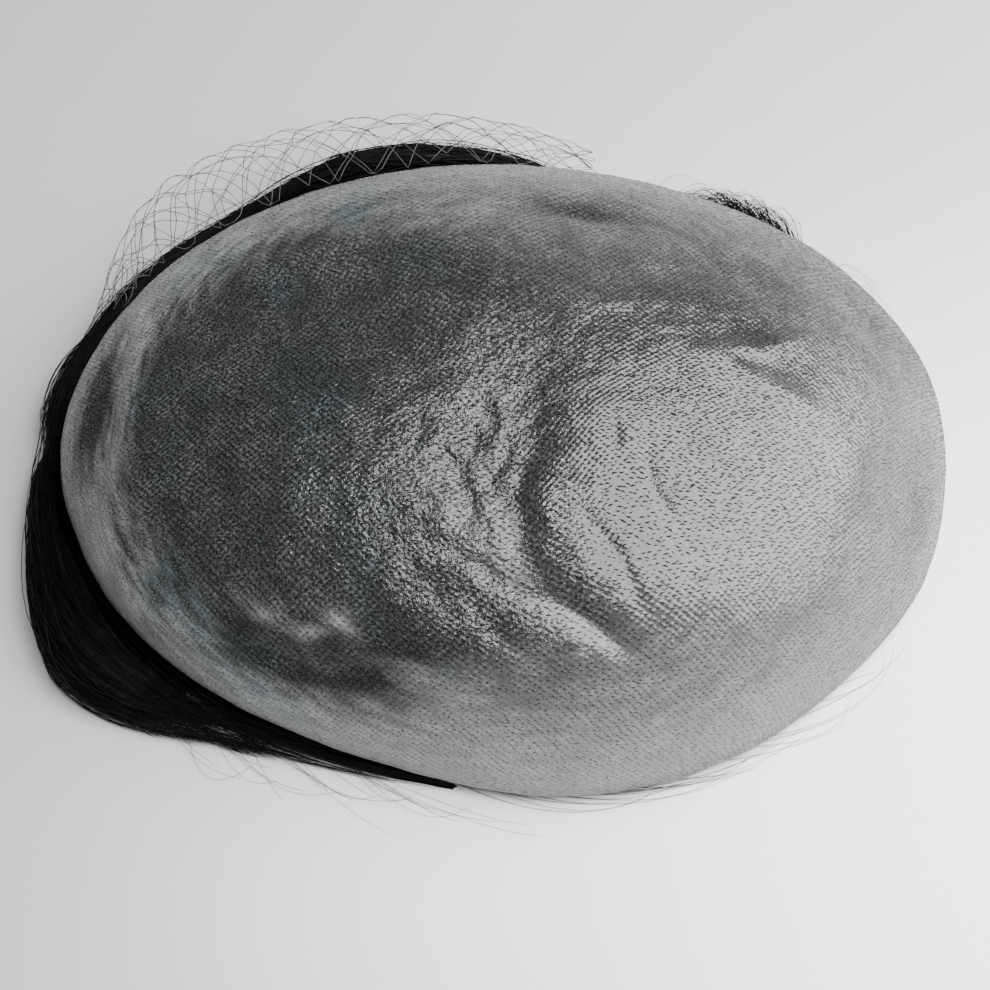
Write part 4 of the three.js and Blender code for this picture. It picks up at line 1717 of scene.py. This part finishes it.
@dataclass
class HairBed:
    """The hair packed under the skin, with the strands that show where it spills at the rim."""

    dome: Dome
    node: str = "hair_bed"
    strands: int = 2400
    seed: int = 11
    sweep: tuple[float, float] = (10, 32)
    points: int = 9
    radius: tuple[float, float] = (0.1 * MM, 0.18 * MM)
    reach: float = 30 * MM
    tail_share: float = 0.2
    mass_inset: float = 0.9 * MM
    mass_sunk: float = 2.2 * MM
    least_weight: float = 1.5 * MM
    levels: tuple[float, float] = (0.03, 0.98)
    level_drift: float = 0.12
    under_rim: float = 0.5 * MM
    foot: float = 0.2 * MM
    highest_lift: float = 0.35 * MM

    def build(self, hair: bpy.types.Material) -> list[bpy.types.Object]:
        """Make the mass and the strands round its foot.

        Args:
            hair: the hair's material.

        Returns:
            The mass and the strands.
        """
        form = PackedForm(self.node)
        mass = form.body("hair_bed_mass", self.mass_inset, 1, self.mass_sunk)
        NAPE_TAIL.thin(self.dome, mass)
        dress(mass, hair, Slot.HAIR, self.node)
        paths = self.paths(form)
        radii = tapered(*paths.shape[:2], self.radius, self.seed + 1)
        edge = plain_object("hair_bed_strands", swept("hair_bed_strands", paths, radii))
        dress(edge, hair, Slot.HAIR)
        return [mass, edge]

    def paths(self, form: PackedForm) -> np.ndarray:
        """Where the strands run: round the foot, between the floor and the rim.

        Args:
            form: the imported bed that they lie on.

        Returns:
            The paths, as an array of strands by points by three.
        """
        draw = np.random.default_rng(self.seed)
        share = np.linspace(0, 1, self.points)
        weight = self.dome.lift(np.arange(360.0)) + self.least_weight
        start = draw.choice(360, self.strands, p=weight / weight.sum()) + draw.random(self.strands)
        turn = start[:, None] + draw.uniform(*self.sweep, self.strands)[:, None] * share
        level = draw.uniform(*self.levels, self.strands)[:, None]
        drift = draw.normal(0, self.level_drift, self.strands)[:, None]
        level = np.clip(level + drift * (share - 0.5) * 2, 0.02, 1)
        height = level * (self.dome.lift(turn) - self.under_rim) + self.foot
        out = self.dome.outward(turn)
        origin = self.dome.beside_rim(turn, np.full(turn.shape, self.reach), height)
        found = form.skin(origin, -out)
        lift = draw.uniform(0, self.highest_lift, self.strands)[:, None]
        in_tail = (turn % 360 > NAPE_TAIL.first) & (turn % 360 < NAPE_TAIL.last)
        kept = draw.random(self.strands) < np.where(in_tail.any(axis=1), self.tail_share, 1)
        return eased(whole_runs((found + out * lift[..., None])[kept], 5), 2)


@dataclass(frozen=True)
class LooseRow:
    """Some loose hairs that leave the rim between two turns.

    They sweep on round the rim by some degrees, reach out as far as a distance in
    millimetres, start at a height in millimetres and may arch up by some more.
    """

    first: float
    last: float
    hairs: int
    sweep: float
    reach: float
    height: float
    arch: float = 0


LOOSE_ROWS = (
    LooseRow(262, 286, 12, 26, 4.0, 1.5),
    LooseRow(286, 312, 6, 22, 7.5, 1.0),
    LooseRow(312, 322, 2, 14, 6.0, 1.0),
    LooseRow(56, 72, 8, -16, 19.0, 6.0),
    LooseRow(40, 54, 5, -14, 15.0, 5.0),
    LooseRow(150, 190, 10, 22, 6.0, 7.0),
    LooseRow(196, 236, 14, 24, 17.0, 5.0),
    LooseRow(214, 250, 16, 26, 9.0, 4.0),
    LooseRow(74, 112, 34, 20, 11.0, 22.0),
    LooseRow(112, 150, 16, 22, 6.0, 14.0),
)
PEEP_ROWS = (
    LooseRow(43, 53, 460, 11, 12.0, 2.4, 9.0),
    LooseRow(76, 90, 90, 24, 2.2, 6.0),
    LooseRow(150, 178, 420, 22, 6.0, 10.0),
)


@dataclass
class LooseHairs:
    """Fine hairs that stray out from under the rim and lie on the floor.

    root is how far under the rim they start, bow how far round they bend, as a share of half a
    turn, and ripple how far they lift off the floor along their way.
    """

    dome: Dome
    rows: tuple[LooseRow, ...]
    name: str
    seed: int
    radius: float = 0.07 * MM
    points: int = 18
    root: float = 1.2 * MM
    ripple: float = 0.25 * MM
    bow: float = 0.62

    def build(self, hair: bpy.types.Material) -> bpy.types.Object:
        """Make all the loose hairs as one piece.

        Args:
            hair: the hair's material.

        Returns:
            The hairs' object.
        """
        draw = np.random.default_rng(self.seed)
        paths = np.concatenate([self.paths(row, draw) for row in self.rows])
        share = np.linspace(0, 1, self.points)[None, :]
        radii = self.radius * (1 - 0.6 * share) * np.ones((len(paths), 1))
        piece = plain_object(self.name, swept(self.name, paths, radii))
        return dress(piece, hair, Slot.HAIR)

    def paths(self, row: LooseRow, draw: np.random.Generator) -> np.ndarray:
        """Where one row's hairs run.

        Args:
            row: the row.
            draw: what draws the random numbers.

        Returns:
            The paths, as an array of hairs by points by three.
        """
        share = np.linspace(0, 1, self.points)[None, :]
        start = draw.uniform(row.first, row.last, row.hairs)[:, None]
        sweep = row.sweep * draw.uniform(0.5, 1.2, row.hairs)[:, None]
        reach = row.reach * MM * draw.uniform(0.4, 1, row.hairs)[:, None]
        curl = draw.uniform(0.6, 1.5, row.hairs)[:, None]
        phase = draw.uniform(-0.5, 0.5, row.hairs)[:, None]
        turn = start + sweep * share + 2 * np.sin(3 * share + phase)
        out = reach * np.sin(math.pi * self.bow * share * curl + 0.05) - self.root * (1 - share)
        height = row.height * MM * draw.uniform(0.3, 1, row.hairs)[:, None] * (1 - share) ** 2
        height = height + row.arch * MM * draw.random(row.hairs)[:, None] * np.sin(math.pi * share)
        ripple = self.ripple * np.abs(np.sin(5 * share + 4 * phase))
        return self.dome.beside_rim(turn, out, height + ripple + self.radius)


# The net


@dataclass
class HairNet:
    """The loose net that billows beside the far side, knotted in uneven diamonds."""

    dome: Dome
    turns: tuple[float, float] = (76, 154)
    seat: float = 0.82
    clearance: float = 0.3 * MM
    skin_wall: float = 1.2 * MM
    bar: float = 1 * MM
    billow: float = 26 * MM
    bulges: tuple[float, ...] = (0.25, 0.45, 0.6, 0.68, 0.78, 0.88, 0.84, 0.48, 0.08)
    leaves: tuple[float, float] = (1.0, 0.28)
    lands: tuple[float, float] = (1.15, 0.25)
    roll_turns: tuple[float, float] = (72, 175)
    roll_reach: float = 8 * MM
    roll_shares: tuple[float, ...] = (
        0.12, 0.5, 0.85, 1, 1, 0.68, 0.62, 0.62, 0.66, 0.74, 0.74,
    )
    layers: tuple[tuple[int, int, float], ...] = ((15, 4, 0.0), (10, 3, 2.6))
    thread: float = 0.1 * MM
    seed: int = 31

    def build(self, thread: bpy.types.Material) -> bpy.types.Object:
        """Make the net as one piece.

        Args:
            thread: the threads' material.

        Returns:
            The net's object.
        """
        draw = np.random.default_rng(self.seed)
        paths = np.concatenate([self.layer(*layer, draw) for layer in self.layers])
        radii = np.full(paths.shape[:2], self.thread)
        piece = plain_object("hair_net_threads", swept("hair_net_threads", paths, radii, 4))
        return dress(piece, thread, Slot.THREAD, "hair_net")

    def place(self, along: np.ndarray, across: np.ndarray) -> np.ndarray:
        """Points of the net's sheet.

        Args:
            along: shares from the first turn to the last.
            across: shares from the edge on the skin to the edge on the floor.

        Returns:
            One point for each pair.
        """
        first, last = self.turns
        turn = first + (last - first) * along
        bulge = self.billow * smooth_at(self.bulges, along * (len(self.bulges) - 1), False)
        seat = self.dome.surface(turn, self.seat, self.clearance + self.bar / 2)
        low, high = self.roll_turns
        roll_share = np.clip((turn - low) / (high - low), 0, 1)
        shares = smooth_at(self.roll_shares, roll_share * (len(self.roll_shares) - 1), False)
        roll = np.where(roll_share < 1, self.roll_reach * shares, 0)
        bed = self.dome.spill(turn) - self.skin_wall - self.clearance
        foot = self.dome.beside_rim(turn, bed + roll + 2 * self.bar, self.bar)
        out, up = self.dome.outward(turn), np.array([0, 0, 1.0])
        rise = up * self.billow
        leave = seat + out * (self.leaves[0] * bulge)[..., None] + rise * self.leaves[1]
        land = foot + out * (self.lands[0] * bulge)[..., None] + rise * self.lands[1]
        t = across[..., None]
        s = 1 - t
        return s**3 * seat + 3 * s * s * t * leave + 3 * s * t * t * land + t**3 * foot

    def layer(
        self, columns: int, rows: int, inset: float, draw: np.random.Generator
    ) -> np.ndarray:
        """One layer of the net's threads.

        Args:
            columns: whole meshes along it.
            rows: whole meshes down it.
            inset: how far it lies inside the outer layer, in millimetres.
            draw: the random numbers that make it uneven.

        Returns:
            The paths of the threads from knot to knot.
        """
        width, depth = 2 * columns, 2 * rows
        jitter = draw.normal(0, 0.2, (width + 1, depth + 1, 2))
        i, j = np.meshgrid(np.arange(width), np.arange(depth), indexing="ij")
        even = (i + j) % 2 == 0
        falling = np.stack([i[even], j[even], i[even] + 1, j[even] + 1], axis=-1)
        rising = np.stack([i[~even], j[~even] + 1, i[~even] + 1, j[~even]], axis=-1)
        ends = np.concatenate([falling, rising])
        first = ends[:, :2] + jitter[ends[:, 0], ends[:, 1]]
        last = ends[:, 2:] + jitter[ends[:, 2], ends[:, 3]]
        share = np.linspace(0, 1, 5)[None, :, None]
        lattice = first[:, None] * (1 - share) + last[:, None] * share
        along = np.clip(lattice[..., 0] / width, 0, 1)
        across = np.clip(lattice[..., 1] / depth, 0, 1)
        points = self.place(along, across)
        first_turn, last_turn = self.turns
        out = self.dome.outward(first_turn + (last_turn - first_turn) * along)
        slack = draw.normal(0, 0.3, len(points))[:, None] * np.sin(math.pi * share[..., 0])
        points -= out * (inset * MM * np.sin(math.pi * across) + slack * MM)[..., None]
        points[..., 2] = np.maximum(points[..., 2], self.thread)
        return points


# The studio


@dataclass(frozen=True)
class Lamp:
    """A soft flat light: where it hangs from the dome's middle, its size and its power.

    way is the direction to it and distance how far off it is. size is in metres and power in
    watts.
    """

    name: str
    way: tuple[float, float, float]
    distance: float
    size: tuple[float, float]
    power: float
    tint: tuple[float, float, float]

    def hang(self, centre: tuple[float, float]) -> None:
        """Hang the light, facing the dome's middle.

        Args:
            centre: the dome's middle, along X and Y.
        """
        light = bpy.data.lights.new(self.name, "AREA")
        light.shape = "RECTANGLE"
        light.size, light.size_y = self.size
        light.energy = self.power
        light.color = self.tint
        lamp = bpy.data.objects.new(self.name, light)
        bpy.context.scene.collection.objects.link(lamp)
        way = Vector(self.way).normalized()
        side = (Vector((1, 0, 0)) - way * way.x).normalized()
        turned = Matrix((side, way.cross(side), way)).transposed()
        lamp.location = Vector((*centre, 0)) + way * self.distance
        lamp.rotation_euler = turned.to_euler()


LAMPS = (
    Lamp("window", (0.587, 0.03, 0.81), 0.5, (0.54, 0.52), 11.2, (0.95, 0.98, 1.0)),
    Lamp("ceiling", (-0.08, 0.0, 1.0), 0.6, (0.12, 0.12), 1.0, (1.0, 1.0, 0.98)),
)


@dataclass
class Studio:
    """The pale floor, the soft lights and the camera."""

    centre: tuple[float, float]
    floor: float = 4.0
    look: tuple[float, float, float] = (0, -13 * MM, 20 * MM)
    elevation: float = 66
    distance: float = 400 * MM
    view_width: float = 232.8 * MM
    sensor: float = 36
    room_level: float = 0.2
    room_tint: tuple[float, float, float] = (1.0, 1.0, 1.0)

    def place_camera(self) -> None:
        """Set the camera up at the photograph's angle."""
        camera = bpy.data.cameras.new("camera")
        camera.sensor_width = self.sensor
        camera.sensor_fit = "HORIZONTAL"
        camera.lens = self.sensor * self.distance / self.view_width
        camera.clip_start = 0.01
        eye = bpy.data.objects.new("camera", camera)
        bpy.context.scene.collection.objects.link(eye)
        aim = Vector((*self.centre, 0)) + Vector(self.look)
        angle = math.radians(self.elevation)
        back = Vector((0, -math.cos(angle), math.sin(angle)))
        eye.location = aim + back * self.distance
        eye.rotation_euler = (-back).to_track_quat("-Z", "Y").to_euler()
        bpy.context.scene.camera = eye

    def lay_floor(self) -> None:
        """Lay the floor."""
        form = bmesh.new()
        bmesh.ops.create_grid(form, x_segments=1, y_segments=1, size=self.floor / 2)
        floor = plain_object("floor", mesh_of("floor", form))
        floor.data.materials.append(FloorFinish().material())

    def light(self) -> None:
        """Hang the lamps and set the room's light."""
        for lamp in LAMPS:
            lamp.hang(self.centre)
        world = bpy.data.worlds.new("room")
        world.use_nodes = True
        background = world.node_tree.nodes["Background"]
        background.inputs["Color"].default_value = grey(1, self.room_tint)
        background.inputs["Strength"].default_value = self.room_level
        bpy.context.scene.world = world


def report(pieces: Sequence[bpy.types.Object]) -> None:
    """Log each piece's name and its triangles.

    Args:
        pieces: the pieces.
    """
    for piece in pieces:
        count = sum(len(face.vertices) - 2 for face in piece.data.polygons)
        log.info("%s: %d triangles", piece.name, count)


def main() -> None:
    """Build the whole scene, piece by piece."""
    logging.basicConfig(level=logging.INFO, format="%(message)s")
    dome = Dome().seated_on("skin_base")
    studio = Studio(dome.centre)
    studio.place_camera()
    studio.lay_floor()
    studio.light()
    hair = HairFinish().material()
    thread = ThreadFinish().material()
    report(SkinBase(dome, FlatMap(dome)).build())
    report(HairBed(dome).build(hair))
    lobe_hub = (2 * MM, 1 * MM)
    lobe = HairBunch(dome, "hair_lobe", (172, 268), 2300, 21, hub=lobe_hub, tail=NAPE_TAIL)
    report(lobe.build(hair))
    report(HairBunch(dome, "hair_roll", (70, 178), 1700, 23).build(hair))
    report(HairBridge(dome, "hair_roll", (160, 186), 520, 27, (16, 34), (2, 80)).build(hair))
    fuzz = HairFuzz(dome, "hair_lobe", (174, 240), 1500, 51, hub=lobe_hub, stray_lift=1.8 * MM)
    report(fuzz.build(hair))
    report(HairFuzz(dome, "hair_roll", (72, 176), 1500, 53, stray_lift=2.2 * MM).build(hair))
    report([HairNet(dome).build(thread)])
    report([LooseHairs(dome, LOOSE_ROWS, "loose_hairs", 41).build(hair)])
    report([LooseHairs(dome, PEEP_ROWS, "peeping_hairs", 43, 0.1 * MM).build(hair)])


if __name__ == "__main__":
    main()
